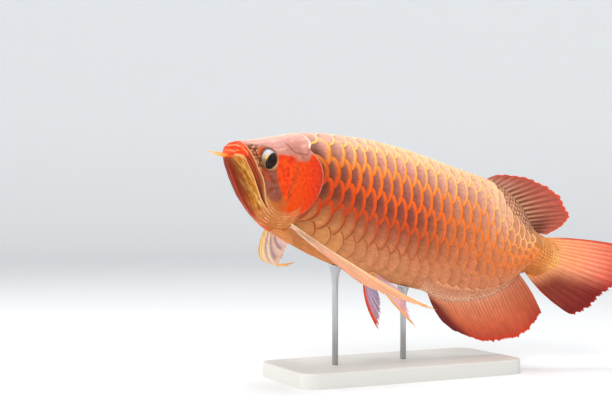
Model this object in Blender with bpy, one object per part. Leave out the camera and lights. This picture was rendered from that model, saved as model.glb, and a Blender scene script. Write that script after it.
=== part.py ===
"""Asian arowana, life size, swimming pose, on a plain two-rod display stand.

The straight fish is described in body lengths (1.0 = snout to the base of the
tail fin): s runs tailwards, y to the fish's right, z up. One bend then lays it
on its swimming curve. Metres, +Z up, fish facing -X, stand underside at z = 0.
"""

import math

import bpy
import numpy as np
from mathutils import Vector
from mathutils.bvhtree import BVHTree

# ------------------------------------------------------------------ named sizes
SL = 0.46            # standard length in metres
GAP = 0.0003         # clearance between neighbouring nodes, metres
G = GAP / SL         # the same in body lengths

HEAD_YAW = math.radians(17.0)     # the head turns to the fish's left
TAIL_YAW = math.radians(-21.0)
HEAD_PITCH = math.radians(4.2)    # nose up, more so towards the tail
TAIL_PITCH = math.radians(22.2)
RIGID = 0.18                      # the skull doesn't bend
BALANCE = 0.50                    # this point of the spine is over the stand's centre
SNOUT_HEIGHT = 0.262              # spine height at s = 0 above the floor

SNOUT = 0.022                     # where the lips meet in front
TAIL_END = 0.985
RELIEF = 0.0026                   # height of a scale's free edge (1.2 mm)

BASE_LENGTH, BASE_WIDTH, BASE_HEIGHT, BASE_CORNER = 0.270, 0.120, 0.016, 0.018
ROD_RADIUS, ROD_PAD = 0.0032, 0.0065
ROD_STATIONS = {"stand_rod_front": 0.375, "stand_rod_rear": 0.600}

COLOURS = {
    "head": (0.80, 0.50, 0.42), "lower_jaw": (0.72, 0.36, 0.14),
    "gill_cover_left": (0.95, 0.20, 0.04), "gill_cover_right": (0.95, 0.20, 0.04),
    "body_front": (0.78, 0.42, 0.28), "body_middle": (0.80, 0.40, 0.24),
    "body_rear": (0.85, 0.45, 0.20), "dorsal_fin": (0.55, 0.20, 0.15),
    "anal_fin": (0.80, 0.28, 0.16), "tail_fin": (0.85, 0.30, 0.16),
    "pectoral_fin_left": (0.92, 0.62, 0.42), "pectoral_fin_right": (0.92, 0.62, 0.42),
    "pelvic_fin_left": (0.85, 0.50, 0.42), "pelvic_fin_right": (0.80, 0.32, 0.22),
    "eye_left": (0.55, 0.50, 0.42), "eye_right": (0.55, 0.50, 0.42),
    "barbel_left": (0.90, 0.48, 0.12), "barbel_right": (0.90, 0.48, 0.12),
    "stand_base": (0.78, 0.77, 0.74), "stand_rod_front": (0.62, 0.63, 0.64),
    "stand_rod_rear": (0.62, 0.63, 0.64),
}


# ------------------------------------------------------------------ small maths
def smooth(*knots):
    """Monotone cubic curve through (x, y) pairs."""
    x, y = np.array(knots, float).T
    h = np.diff(x)
    d = np.diff(y) / h
    m = np.zeros_like(x)
    m[0], m[-1] = d[0], d[-1]
    for i in range(1, len(x) - 1):
        if d[i - 1] * d[i] > 0:
            a, b = 2 * h[i] + h[i - 1], h[i] + 2 * h[i - 1]
            m[i] = (a + b) / (a / d[i - 1] + b / d[i])

    def at(q):
        q = np.clip(q, x[0], x[-1])
        i = np.clip(np.searchsorted(x, q, side="right") - 1, 0, len(x) - 2)
        t = (q - x[i]) / h[i]
        return (y[i] * (1 + 2 * t) * (1 - t) ** 2 + m[i] * h[i] * t * (1 - t) ** 2
                + y[i + 1] * t * t * (3 - 2 * t) + m[i + 1] * h[i] * t * t * (t - 1))
    return at


def step(x, low, high):
    t = np.clip((np.asarray(x, float) - low) / (high - low), 0, 1)
    return t * t * (3 - 2 * t)


def path3(u, knots):
    """Point on a smooth 3-D path given as (u, a, b[, c]) rows."""
    rows = np.array(knots, float)
    return np.stack([smooth(*zip(rows[:, 0], rows[:, k]))(u) for k in range(1, rows.shape[1])], -1)


def distance(points, s, z):
    """Distance from (s, z) to a polyline in the side view."""
    best = np.full(np.shape(s), 9.0)
    for (a, b), (c, d) in zip(points[:-1], points[1:]):
        t = np.clip(((s - a) * (c - a) + (z - b) * (d - b)) / ((c - a) ** 2 + (d - b) ** 2), 0, 1)
        best = np.minimum(best, np.hypot(s - a - t * (c - a), z - b - t * (d - b)))
    return best


# ------------------------------------------------------------------ the straight body
top_line = smooth(
    (.0215, -.051), (.023, -.046), (.026, -.0405), (.031, -.0355), (.040, -.030), (.052, -.0255),
    (.070, -.0225), (.091, -.0185), (.113, -.014), (.136, -.008), (.159, -.003), (.182, .002), (.206, .007),
    (.241, .0115), (.276, .016), (.322, .020), (.368, .023), (.413, .0255), (.459, .026),
    (.504, .026), (.550, .024), (.596, .021), (.641, .018), (.687, .0165), (.731, .0160),
    (.757, .0150), (.790, .0120), (.823, .0040), (.854, -.010), (.884, -.030), (.905, -.048),
    (.925, -.0635), (.945, -.0675), (.963, -.0675), (1.0, -.064))
low_line = smooth(
    (.0215, -.060), (.0235, -.067), (.027, -.078), (.033, -.091), (.041, -.104), (.051, -.121),
    (.066, -.144), (.087, -.168), (.108, -.186), (.135, -.205), (.165, -.2185), (.210, -.235), (.264, -.251),
    (.323, -.266), (.381, -.277), (.440, -.284), (.500, -.288), (.550, -.290), (.591, -.2915),
    (.620, -.291), (.650, -.290), (.675, -.2925), (.708, -.300), (.755, -.297), (.802, -.286),
    (.843, -.267), (.878, -.243), (.903, -.217), (.917, -.192), (.928, -.174), (.940, -.169),
    (.955, -.171), (1.0, -.176))
half_width = smooth(
    (.0215, .004), (.023, .0095), (.026, .0155), (.031, .0205), (.038, .0250), (.047, .0290), (.060, .0330),
    (.080, .0375), (.104, .0425), (.130, .0480), (.160, .0540), (.200, .0600), (.250, .0630),
    (.300, .0650), (.400, .0655), (.500, .0635), (.600, .0575), (.700, .0480), (.800, .0365),
    (.880, .0265), (.930, .0200), (.980, .0150), (1.0, .0140))
keel_width = smooth((.0, .0030), (.10, .0035), (.30, .0035), (.64, .0040), (.70, .0075),
                    (.90, .0065), (.95, .0040), (1.0, .0040))

S_GRID = np.linspace(.0215, 1.0, 490)
V_GRID = np.linspace(0, 1, 241)


def build_tables():
    """Half cross-sections, evenly spaced along their girth: y and z by (s, v)."""
    u = (1 - np.cos(np.linspace(0, np.pi, 321))) / 2
    ys, zs, girth = [], [], []
    for s in S_GRID:
        head = 1 - step(s, .12, .27)
        tail = step(s, .78, .95)
        mix = lambda h, m, t: (h * head + m * (1 - head)) * (1 - tail) + t * tail
        um, pt, qt, pb, qb = mix(.36, .36, .48), mix(3.0, 2.5, 2.0), mix(2.3, 2.2, 2.0), \
            mix(3.0, 2.0, 2.0), mix(1.8, 1.2, 1.9)
        up = (1 - np.clip((um - u) / um, 0, 1) ** pt) ** (1 / qt)
        dn = (1 - np.clip((u - um) / (1 - um), 0, 1) ** pb) ** (1 / qb)
        y = half_width(s) * np.where(u < um, up, dn)
        y = np.maximum(y, keel_width(s) * (1 - np.abs(2 * u - 1) ** 24) ** .5)
        z = top_line(s) - u * (top_line(s) - low_line(s))
        arc = np.concatenate([[0], np.cumsum(np.hypot(np.diff(y), np.diff(z)))])
        ys.append(np.interp(V_GRID, arc / arc[-1], y))
        zs.append(np.interp(V_GRID, arc / arc[-1], z))
        girth.append(arc[-1])
    return np.array(ys), np.array(zs), np.array(girth)


Y_TABLE, Z_TABLE, GIRTH = build_tables()


def sample(s, v):
    """(half width, height) of the plain body at station s and girth fraction v."""
    s, v = np.broadcast_arrays(np.asarray(s, float), np.asarray(v, float))
    sign = np.where(v < 0, -1.0, 1.0) * np.where(v > 1, -1.0, 1.0)
    v = np.abs(v)
    v = np.where(v > 1, 2 - v, v)
    a = np.clip((s - S_GRID[0]) / (S_GRID[1] - S_GRID[0]), 0, len(S_GRID) - 1.0001)
    b = np.clip(v * (len(V_GRID) - 1), 0, len(V_GRID) - 1.0001)
    i, j = a.astype(int), b.astype(int)
    a, b = a - i, b - j
    out = []
    for table in (Y_TABLE, Z_TABLE):
        out.append((table[i, j] * (1 - a) + table[i + 1, j] * a) * (1 - b)
                   + (table[i, j + 1] * (1 - a) + table[i + 1, j + 1] * a) * b)
    return out[0] * sign, out[1]


def v_at(s, z):
    """Girth fraction at which the side of the body passes the height z."""
    s, z = np.broadcast_arrays(np.asarray(s, float), np.asarray(z, float))
    out = np.empty(s.shape)
    for k in np.ndindex(s.shape):
        i = int(np.clip(np.searchsorted(S_GRID, s[k]), 1, len(S_GRID) - 1))
        t = np.clip((s[k] - S_GRID[i - 1]) / (S_GRID[i] - S_GRID[i - 1]), 0, 1)
        row = Z_TABLE[i - 1] * (1 - t) + Z_TABLE[i] * t
        out[k] = np.interp(-z[k], -row, V_GRID)
    return out


def skin(s, v, side, lift=0.0):
    """Points of the straight body, moved out along its normal by lift."""
    e, f = .003, .004
    y, z = sample(s, v)
    ys, zs = sample(np.asarray(s) + e, v)
    yr, zr = sample(np.asarray(s) - e, v)
    yv, zv = sample(s, np.asarray(v) + f)
    yu, zu = sample(s, np.asarray(v) - f)
    ds = np.stack([np.full_like(y, 2 * e), ys - yr, zs - zr], -1)
    dv = np.stack([np.zeros_like(y), yv - yu, zv - zu], -1)
    n = np.cross(ds, dv)
    n /= np.linalg.norm(n, axis=-1, keepdims=True) + 1e-12
    n *= -np.sign(np.sum(n * np.stack([0 * y, -y - 1e-9, -(z + .13) * (np.abs(y) < 1e-6)], -1), -1,
                         keepdims=True) + 1e-12)
    p = np.stack([np.broadcast_to(s, y.shape), y, z], -1) + n * np.asarray(lift)[..., None]
    p[..., 1] *= side
    return p


# ------------------------------------------------------------------ the swimming curve
T_GRID = np.linspace(-.1, 1.4, 601)


def turn(t, head, tail):
    return head + (tail - head) * np.clip((t - RIGID) / (1 - RIGID), 0, 1.0)


def build_spine():
    yaw, pitch = turn(T_GRID, HEAD_YAW, TAIL_YAW), turn(T_GRID, HEAD_PITCH, TAIL_PITCH)
    tangent = np.stack([np.cos(pitch) * np.cos(yaw), np.cos(pitch) * np.sin(yaw), -np.sin(pitch)], 1)
    inner = (tangent[1:] + tangent[:-1]) / 2 * (T_GRID[1] - T_GRID[0])
    spine = np.concatenate([[np.zeros(3)], np.cumsum(inner, 0)])
    spine -= [np.interp(0, T_GRID, spine[:, k]) for k in range(3)]
    middle = np.array([np.interp(BALANCE, T_GRID, spine[:, k]) for k in range(3)])
    return SL * spine + np.array([-SL * middle[0], -SL * middle[1], SNOUT_HEIGHT])


SPINE = build_spine()


def bend(points):
    """Body lengths on the straight fish to metres in the room."""
    p = np.asarray(points, float)
    s = p[..., 0]
    centre = np.stack([np.interp(s, T_GRID, SPINE[:, k]) for k in range(3)], -1)
    yaw, pitch = turn(s, HEAD_YAW, TAIL_YAW), turn(s, HEAD_PITCH, TAIL_PITCH)
    side = np.stack([-np.sin(yaw), np.cos(yaw), 0 * yaw], -1)
    up = np.stack([np.sin(pitch) * np.cos(yaw), np.sin(pitch) * np.sin(yaw), np.cos(pitch)], -1)
    return centre + SL * (p[..., 1:2] * side + p[..., 2:3] * up)


# ------------------------------------------------------------------ meshes
def material(name):
    mat = bpy.data.materials.new(name + "_material")
    mat.use_nodes = True
    shader = mat.node_tree.nodes["Principled BSDF"]
    shader.inputs["Base Color"].default_value = (*COLOURS[name], 1.0)
    shader.inputs["Roughness"].default_value = 0.55 if name == "stand_base" else 0.35
    shader.inputs["Metallic"].default_value = 0.9 if name.startswith("stand_rod") else 0.0
    return mat


def make(name, vertices, faces, final=True):
    """One mesh object; its faces are turned to point outwards."""
    mesh = bpy.data.meshes.new(name)
    mesh.from_pydata([tuple(map(float, v)) for v in vertices], [], [tuple(f) for f in faces])
    mesh.update()
    obj = bpy.data.objects.new(name, mesh)
    bpy.context.scene.collection.objects.link(obj)
    v = np.array(vertices, float)
    volume = sum(np.dot(v[f[0]], np.cross(v[f[k]], v[f[k + 1]])) for f in faces for k in range(1, len(f) - 1))
    if volume < 0:
        mesh.flip_normals()
    if final:
        mesh.materials.append(material(name))
        mesh.shade_smooth()
        mesh.set_sharp_from_angle(angle=math.radians(38))
    return obj


def cap_strip(first, count):
    """Faces across one ring, left point to right point, for a ring of 2 * count points."""
    ring = lambda k: first + k % (2 * count)
    faces = [(ring(0), ring(1), ring(-1))]
    for k in range(1, count - 1):
        a, b, c, d = ring(k), ring(k + 1), ring(-k - 1), ring(-k)
        faces += [(a, b, c), (a, c, d)]
    faces.append((ring(count - 1), ring(count), ring(count + 1)))
    return faces


def loft(rings, flip=None):
    """Closed tube through rings of 2n points (left side down, right side up)."""
    rings = np.array(rings)
    nr, n2 = rings.shape[:2]
    faces = [tuple(reversed(f)) for f in cap_strip(0, n2 // 2)]
    for i in range(nr - 1):
        for k in range(n2):
            a, b = i * n2 + k, i * n2 + (k + 1) % n2
            c, d = a + n2, b + n2
            if flip is not None and flip(i, k):
                faces += [(a, b, c), (b, d, c)]
            else:
                faces += [(a, b, d), (a, d, c)]
    faces += cap_strip((nr - 1) * n2, n2 // 2)
    return rings.reshape(-1, 3), faces


def ring_points(s, v, lift):
    """One ring from girth fractions 0..1: left side down, right side up."""
    left = skin(s, v, -1, lift)
    right = skin(s, v, 1, lift)
    left[0, 1] = left[-1, 1] = 0.0
    return np.concatenate([left, right[-2:0:-1]])


def patch_solid(outer, inner):
    """Closed solid between two equal grids of points."""
    nu, nt = outer.shape[:2]
    idx = lambda i, j, k: k * nu * nt + i * nt + j
    faces = []
    for i in range(nu - 1):
        for j in range(nt - 1):
            a, b, c, d = idx(i, j, 0), idx(i + 1, j, 0), idx(i + 1, j + 1, 0), idx(i, j + 1, 0)
            faces += [(a, b, c), (a, c, d)]
            a, b, c, d = (q + nu * nt for q in (a, b, c, d))
            faces += [(a, c, b), (a, d, c)]
    rim = [(i, 0) for i in range(nu)] + [(nu - 1, j) for j in range(1, nt)] \
        + [(i, nt - 1) for i in range(nu - 2, -1, -1)] + [(0, j) for j in range(nt - 2, 0, -1)]
    for (i, j), (m, n) in zip(rim, rim[1:] + rim[:1]):
        a, b, c, d = idx(i, j, 0), idx(m, n, 0), idx(m, n, 1), idx(i, j, 1)
        faces += [(a, c, b), (a, d, c)]
    return np.concatenate([outer.reshape(-1, 3), inner.reshape(-1, 3)]), faces


def boolean(target, cutter, kind):
    """Target's mesh after one Boolean, keeping its largest closed surface."""
    mod = target.modifiers.new("cut", "BOOLEAN")
    mod.object, mod.operation, mod.solver = cutter, kind, "EXACT"
    graph = bpy.context.evaluated_depsgraph_get()
    mesh = bpy.data.meshes.new_from_object(target.evaluated_get(graph))
    target.modifiers.remove(mod)
    v = np.array([p.co for p in mesh.vertices], float)
    faces = []
    for poly in mesh.polygons:
        faces.append(tuple(poly.vertices))
    link = list(range(len(v)))

    def root(a):
        while link[a] != a:
            link[a] = link[link[a]]
            a = link[a]
        return a
    for f in faces:
        for q in f[1:]:
            link[root(q)] = root(f[0])
    groups = {}
    for f in faces:
        groups.setdefault(root(f[0]), []).append(f)
    keep = max(groups.values(), key=len)
    used = sorted({q for f in keep for q in f})
    number = {q: i for i, q in enumerate(used)}
    return v[used], [tuple(number[q] for q in f) for f in keep]


def triangles(vertices, faces):
    """The same faces cut into triangles by the mesh's own tessellation."""
    mesh = bpy.data.meshes.new("flat")
    mesh.from_pydata([tuple(map(float, v)) for v in vertices], [], faces)
    mesh.update()
    mesh.calc_loop_triangles()
    out = [tuple(t.vertices) for t in mesh.loop_triangles]
    bpy.data.meshes.remove(mesh)
    return out


def drop(obj):
    bpy.data.objects.remove(obj, do_unlink=True)


# ------------------------------------------------------------------ trunk with its scale lattice
ROWS = 6.6                       # scale rows from the back's midline to the keel
SLANT = 0.165                    # half height of a scale's slanted corner, in rows
BOUND = [0.0, 0.5]
for k in range(1, 7):
    BOUND += [k - SLANT, k + SLANT] + ([k + 0.5] if k < 6 else [])
ROW_OF = np.array(BOUND + [ROWS - .11, ROWS])
V_RING = ROW_OF / ROWS

gill_edge = smooth((-.240, .163), (-.218, .168), (-.190, .182), (-.163, .214), (-.146, .233), (-.115, .2505),
                   (-.095, .2530), (-.077, .2500), (-.057, .236), (-.031, .212), (-.010, .224), (.012, .238))
tail_edge = smooth((-.176, .943), (-.160, .962), (-.140, .974), (-.115, .981), (-.090, .975), (-.066, .962))
EDGE_S = gill_edge(sample(.22, V_RING)[1])
END_S = tail_edge(sample(.955, V_RING)[1])


def half_columns():
    """Stations of the half columns of scales, closer towards the tail."""
    out, s, k = [], .2530, 0
    while s < .955:
        out.append(s)
        s += (.0355 - .0003 * k) / 2 * (1 - .35 * float(step(s, .78, .92)))
        k += .5
    return out


COLUMNS = half_columns()


def ring_station(s, v_edge=None):
    """A ring's own stations: it follows the gill opening in front and the tail's base behind."""
    front = (EDGE_S - .2530) * np.exp(-np.clip(s - .2530, 0, 9) / .030)
    back = (END_S - .981) * step(s, .86, .981) ** 1.5
    return s + front + back


def trunk_rings():
    """Each half column gives two rings: on its free edges, and just behind and below them."""
    rings, diagonal, stations = [], [], []
    first = ring_station(.2530) + G * .5
    rings.append(ring_points(first, V_RING, 0 * V_RING))
    stations.append(.2530)
    diagonal.append(0)
    odd = 0
    for n, s in enumerate(COLUMNS[1:], 1):
        odd = n % 2
        row = np.ceil(ROW_OF + 1e-9)
        middle = np.abs(ROW_OF - np.floor(ROW_OF) - .5) < 1e-6
        rim = ((row.astype(int) + odd) % 2 == 0) & (row <= 6)
        bow = np.where(rim & middle, .0052, 0) * (1 - .4 * step(s, .8, .95))
        fade = RELIEF * step(ROW_OF, 0, .5) * (1 - .75 * step(ROW_OF, 4.6, 6.4)) \
            * step(s, .25, .29) * (1 - .45 * step(s, .72, .9)) * (1 - step(s, .93, .965))
        upper = fade * np.where(rim, 1.0, .52)
        lower = fade * np.where(rim, .0, .55)
        base = ring_station(s)
        thin = .0018 if s < .93 else .0026
        rings.append(ring_points(base + bow - thin / 2, V_RING, upper))
        rings.append(ring_points(base + bow + thin / 2, V_RING, lower))
        stations += [s - thin / 2, s + thin / 2]
        diagonal += [odd, odd]
    rings.append(ring_points(END_S, V_RING, 0 * V_RING))
    stations.append(TAIL_END)
    diagonal.append(1 - odd)
    return np.array(rings), stations, diagonal


def build_trunk():
    rings, stations, diagonal = trunk_rings()
    half = len(V_RING) - 1

    def flipper(offset):
        def flip(i, k):
            j = i + offset
            down = k if k < half else 2 * half - 1 - k       # girth interval from the top
            row = ROW_OF[down] + SLANT
            if abs(row - round(row)) > 1e-6 or not 1 <= round(row) <= 6:
                return k >= half
            rim_here = (int(round(row)) + diagonal[j]) % 2 == 0
            return rim_here == (k >= half)
        return flip
    cuts = [0]
    for limit in (.470, .735):
        cuts.append(next(i for i in range(1, len(stations), 2) if stations[i] > limit) + 1)
    cuts.append(len(stations))
    out = {}
    for name, a, b in zip(("body_front", "body_middle", "body_rear"), cuts[:-1], cuts[1:]):
        v, f = loft(rings[a:b], flipper(a))
        out[name] = make(name, bend(v), f)
    return out


# ------------------------------------------------------------------ head
MOUTH = [(.018, -.0575), (.0255, -.0580), (.0355, -.0605), (.0475, -.0665), (.0545, -.080), (.0640, -.099),
         (.0840, -.131), (.1030, -.163), (.1170, -.1800)]
MAXILLA = [(.040, -.040), (.0520, -.0470), (.0610, -.0580), (.0680, -.0750), (.0800, -.1070), (.0960, -.1420),
           (.1080, -.1630), (.1180, -.1740)]
CHEEK = [(.1340, -.052), (.1300, -.090), (.1280, -.120), (.1300, -.150), (.1330, -.172)]
EYE = (.1050, -.0620)
EYE_RADIUS, EYE_DEPTH = .0248, .0155
NOSTRILS = [(.0560, -.0335), (.0660, -.0370)]
HEAD_STATIONS = [.0218, .0232, .0258, .0300, .0355, .0420, .0490, .0560, .0630, .0700, .0770, .0840, .0905,
                 .0965, .1025, .1085, .1145, .1210, .1275, .1345, .1430, .1530, .1640, .1770, .1920, .2080,
                 .2225, .2360]


def ridge(d, width, height):
    return height * np.exp(-(d / width) ** 2)


def head_relief(s, v):
    """Lips, jaw straps, cheek plates and the rim of the eye, as lifts from the plain skin."""
    z = sample(s, v)[1]
    lift = ridge(distance(MOUTH, s, z), .0055, .0022)
    lift = lift + ridge(distance(MAXILLA, s, z), .0045, .0026)
    strap = distance([(.030, -.050), (.0500, -.0580), (.0600, -.0750), (.0720, -.1050), (.0900, -.1400),
                      (.1060, -.1680)], s, z)
    lift = lift + ridge(strap, .0060, .0012)
    around = np.hypot(s - EYE[0], z - EYE[1])
    lift = lift + ridge(around - EYE_RADIUS - .0030, .0040, .0024)
    plate = step(s, .128, .136) * (1 - step(s, .160, .170)) * step(-z, .050, .060) * (1 - step(-z, .165, .178))
    lift = lift + .0020 * plate - ridge(distance(CHEEK, s, z), .0035, .0012)
    gular = np.hypot(s - .105, (z + .172) * .9)
    below = step(-z, .170, .190) * (1 - step(s, .150, .180))
    return lift + .0010 * below * np.cos(gular * 2 * np.pi / .017) * step(gular, .012, .02)


def head_rings():
    v = np.unique(np.round(np.concatenate([V_RING, (V_RING[1:] + V_RING[:-1])[[1, 3, 4, 7]] / 2]), 6))
    edge = np.interp(v, V_RING, EDGE_S)
    rings = []
    for s in HEAD_STATIONS:
        rear = s + (edge - .2360) * max(0.0, (s - .150) / .086) ** 2 - (G * .5 if s == HEAD_STATIONS[-1] else 0)
        rings.append(ring_points(rear, v, head_relief(rear, v) * (1 - step(s, .20, .236)) * step(s, .0215, .026)))
    return rings


def plate_grid(a, b, lift_of):
    """Grid of points over the gill cover; a runs tailwards and b downwards, 0 to 1."""
    a, b = np.meshgrid(a, b, indexing="ij")
    z = -.036 - .136 * b
    front = smooth((-.180, .168), (-.165, .156), (-.132, .1520), (-.090, .1600), (-.057, .1680), (-.030, .184))(z)
    rear = gill_edge(z)
    for _ in range(2):
        rear = np.interp(v_at(rear, z), V_RING, EDGE_S) - .0012
    rear = rear - .0045 * (1 - step(-z, .036, .054))
    s = front + (rear - front) * a
    return s, v_at(s, z), lift_of(a, b)


def gill_cover(side, cutter=False):
    """Curved plate, or the slightly larger cutter that makes room for it in the head."""
    a, b = np.linspace(0, 1, 7), np.linspace(0, 1, 10)
    if cutter:
        a, b = np.array([-.022, *a, 1.3]), np.array([-.009, *b, 1.009])
        s, v, out = plate_grid(a, b, lambda x, y: 0 * x + .0120)
        inner = 0 * s - .0052
    else:
        soft = lambda x, y: (1 - np.abs(2 * x - 1) ** 5) * (1 - np.abs(2 * y - 1) ** 6)
        s, v, out = plate_grid(a, b, lambda x, y: -.0005 + .0036 * soft(x, y) + .0010 * step(x, .8, 1))
        inner = 0 * s - .0044
    return patch_solid(skin(s, v, side, out), skin(s, v, side, inner))


def ellipsoid(centre, axes, radii, across, down):
    """Closed ellipsoid; axes are its three unit directions, the last one its pole."""
    centre, axes = np.array(centre, float), np.array(axes, float)
    verts = [centre + axes[2] * radii[2]]
    for i in range(1, down):
        p = math.pi * i / down
        for j in range(across):
            q = 2 * math.pi * j / across
            verts.append(centre + axes[0] * radii[0] * math.sin(p) * math.cos(q)
                         + axes[1] * radii[1] * math.sin(p) * math.sin(q) + axes[2] * radii[2] * math.cos(p))
    verts.append(centre - axes[2] * radii[2])
    faces = []
    for j in range(across):
        k = (j + 1) % across
        faces.append((0, 1 + j, 1 + k))
        for i in range(down - 2):
            a, b = 1 + i * across + j, 1 + i * across + k
            faces += [(a, a + across, b + across), (a, b + across, b)]
        last = 1 + (down - 2) * across
        faces.append((last + j, len(verts) - 1, last + k))
    return np.array(verts), faces


def eye_frame(side):
    """Centre and axes of an eyeball on the straight head."""
    v = float(v_at(EYE[0], EYE[1]))
    p = skin(np.array([EYE[0]]), np.array([v]), side)[0]
    n = skin(np.array([EYE[0]]), np.array([v]), side, np.array([1.0]))[0] - p
    n = n / np.linalg.norm(n) + np.array([0, 0, -.06])
    n /= np.linalg.norm(n)
    ahead = np.cross(n, (0, 0, 1.0))
    ahead /= np.linalg.norm(ahead)
    return p - n * .0085, (ahead, np.cross(n, ahead), n)


def join(parts):
    verts, faces, base = [], [], 0
    for v, f in parts:
        verts.append(v)
        faces += [tuple(q + base for q in face) for face in f]
        base += len(v)
    return np.concatenate(verts), faces


def outward(part):
    v, f = part
    volume = sum(np.dot(v[q[0]], np.cross(v[q[1]], v[q[2]])) for q in f)
    return part if volume > 0 else (v, [tuple(reversed(q)) for q in f])


def wedge(grow):
    """Everything below the line of the mouth, as a straight-sided block across the head."""
    line = MOUTH + [(.1240, -.1930), (.1260, -.2150), (.1260, -.2600)]
    line = [(-.02, MOUTH[0][1])] + line
    pts = []
    for i, (s, z) in enumerate(line):
        a, b = line[max(i - 1, 0)], line[min(i + 1, len(line) - 1)]
        n = np.array([-(b[1] - a[1]), b[0] - a[0]])
        n = n / np.linalg.norm(n) * grow
        pts.append((s + n[0], z + n[1]))
    pts += [(-.02, -.26)]
    n = len(pts)
    verts = [(s, y, z) for y in (-.12, .12) for s, z in pts]
    faces = [tuple(range(n)), tuple(range(2 * n - 1, n - 1, -1))]
    faces += [(i, n + i, n + (i + 1) % n, (i + 1) % n) for i in range(n)]
    return verts, [tuple(reversed(f)) for f in faces]


def build_head():
    whole = make("whole_head", *loft(head_rings()), final=False)
    cutters = []
    for side in (-1, 1):
        cutters.append(outward(gill_cover(side, cutter=True)))
        centre, axes = eye_frame(side)
        g = 2.0 * G
        cutters.append(outward(ellipsoid(centre, axes, (EYE_RADIUS + g, EYE_RADIUS + g, EYE_DEPTH + g), 18, 8)))
        for s, z in NOSTRILS:
            v = v_at(s, z)
            p = skin(np.array([s]), np.array([float(v)]), side, np.array([.0006]))[0]
            cutters.append(outward(ellipsoid(p, np.eye(3), (.0030, .0030, .0030), 8, 6)))
    cutter = make("cutters", *join(cutters), final=False)
    carved = make("carved", *boolean(whole, cutter, "DIFFERENCE"), final=False)
    block = make("block", *wedge(0.0), final=False)
    wide = make("wide", *wedge(.0016), final=False)
    jaw = boolean(carved, block, "INTERSECT")
    head = boolean(carved, wide, "DIFFERENCE")
    for obj in (whole, cutter, carved, block, wide):
        drop(obj)
    out = {"head": make("head", bend(head[0]), triangles(*head)),
           "lower_jaw": make("lower_jaw", bend(jaw[0]), triangles(*jaw))}
    for side, word in ((-1, "left"), (1, "right")):
        v, f = gill_cover(side)
        out["gill_cover_" + word] = make("gill_cover_" + word, bend(v), f)
        centre, axes = eye_frame(side)
        v, f = ellipsoid(centre, axes, (EYE_RADIUS, EYE_RADIUS, EYE_DEPTH), 18, 8)
        out["eye_" + word] = make("eye_" + word, bend(v), f)
    return out


# ------------------------------------------------------------------ fins
def fin_grid(root, margin, rays, rows, bow=None, split=.035):
    """Middle surface of a fin and its half thickness; every other column is a ray."""
    u = np.linspace(0, 1, 2 * rays - 1)
    t = np.linspace(0, 1, rows)
    a, b = root(u), margin(u)
    web = (np.arange(len(u)) % 2 == 1)
    b = b + (a - b) * (split * web)[:, None]
    middle = a[:, None] * (1 - t)[None, :, None] + b[:, None] * t[None, :, None]
    if bow is not None:
        middle = middle + bow(u)[:, None] * (4 * t * (1 - t) / 2)[None, :, None]
    return middle, u, t, web


def fin_solid(middle, half):
    """Closed fin about a middle surface in metres, both faces cut alike."""
    du = np.gradient(middle, axis=0)
    dt = np.gradient(middle, axis=1)
    n = np.cross(du, dt)
    n /= np.linalg.norm(n, axis=-1, keepdims=True) + 1e-12
    return middle + n * half[..., None], middle - n * half[..., None]


def seat(near, far, tree, gap=GAP * 1.3):
    """Move a fin's root row to just off the body, along its rays."""
    for i in range(near.shape[0]):
        inner, outer = (near[i, 0] + far[i, 0]) / 2, (near[i, 1] + far[i, 1]) / 2
        d = Vector(inner - outer).normalized()
        runs = []
        for p in (near[i, 1], outer, far[i, 1]):
            hit, normal, _, _ = tree.ray_cast(Vector(p), d, .09)
            if hit is not None:
                runs.append((hit - Vector(p)).length - gap / max(.35, abs(d.dot(normal))))
        if runs:
            near[i, 0] = near[i, 1] + np.array(d) * min(runs)
            far[i, 0] = far[i, 1] + np.array(d) * min(runs)
    return near, far


def make_fin(name, middle, thick, tree, gap=GAP * 1.3):
    """thick: (ray at root, ray at tip, web at root, web at tip) half thicknesses in metres."""
    nu, nt = middle.shape[:2]
    t = np.linspace(0, 1, nt)
    web = np.arange(nu) % 2 == 1
    half = np.where(web[:, None], thick[2] + (thick[3] - thick[2]) * t, thick[0] + (thick[1] - thick[0]) * t)
    near, far = fin_solid(bend(middle), half)
    v, f = patch_solid(*seat(near, far, tree, gap))
    return make(name, v, f)


def flat(knots):
    """Midline curve from (u, s, z) rows."""
    rows = [(k[0], k[1], 0.0, k[2]) for k in knots]
    return lambda u: path3(u, rows)


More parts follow.
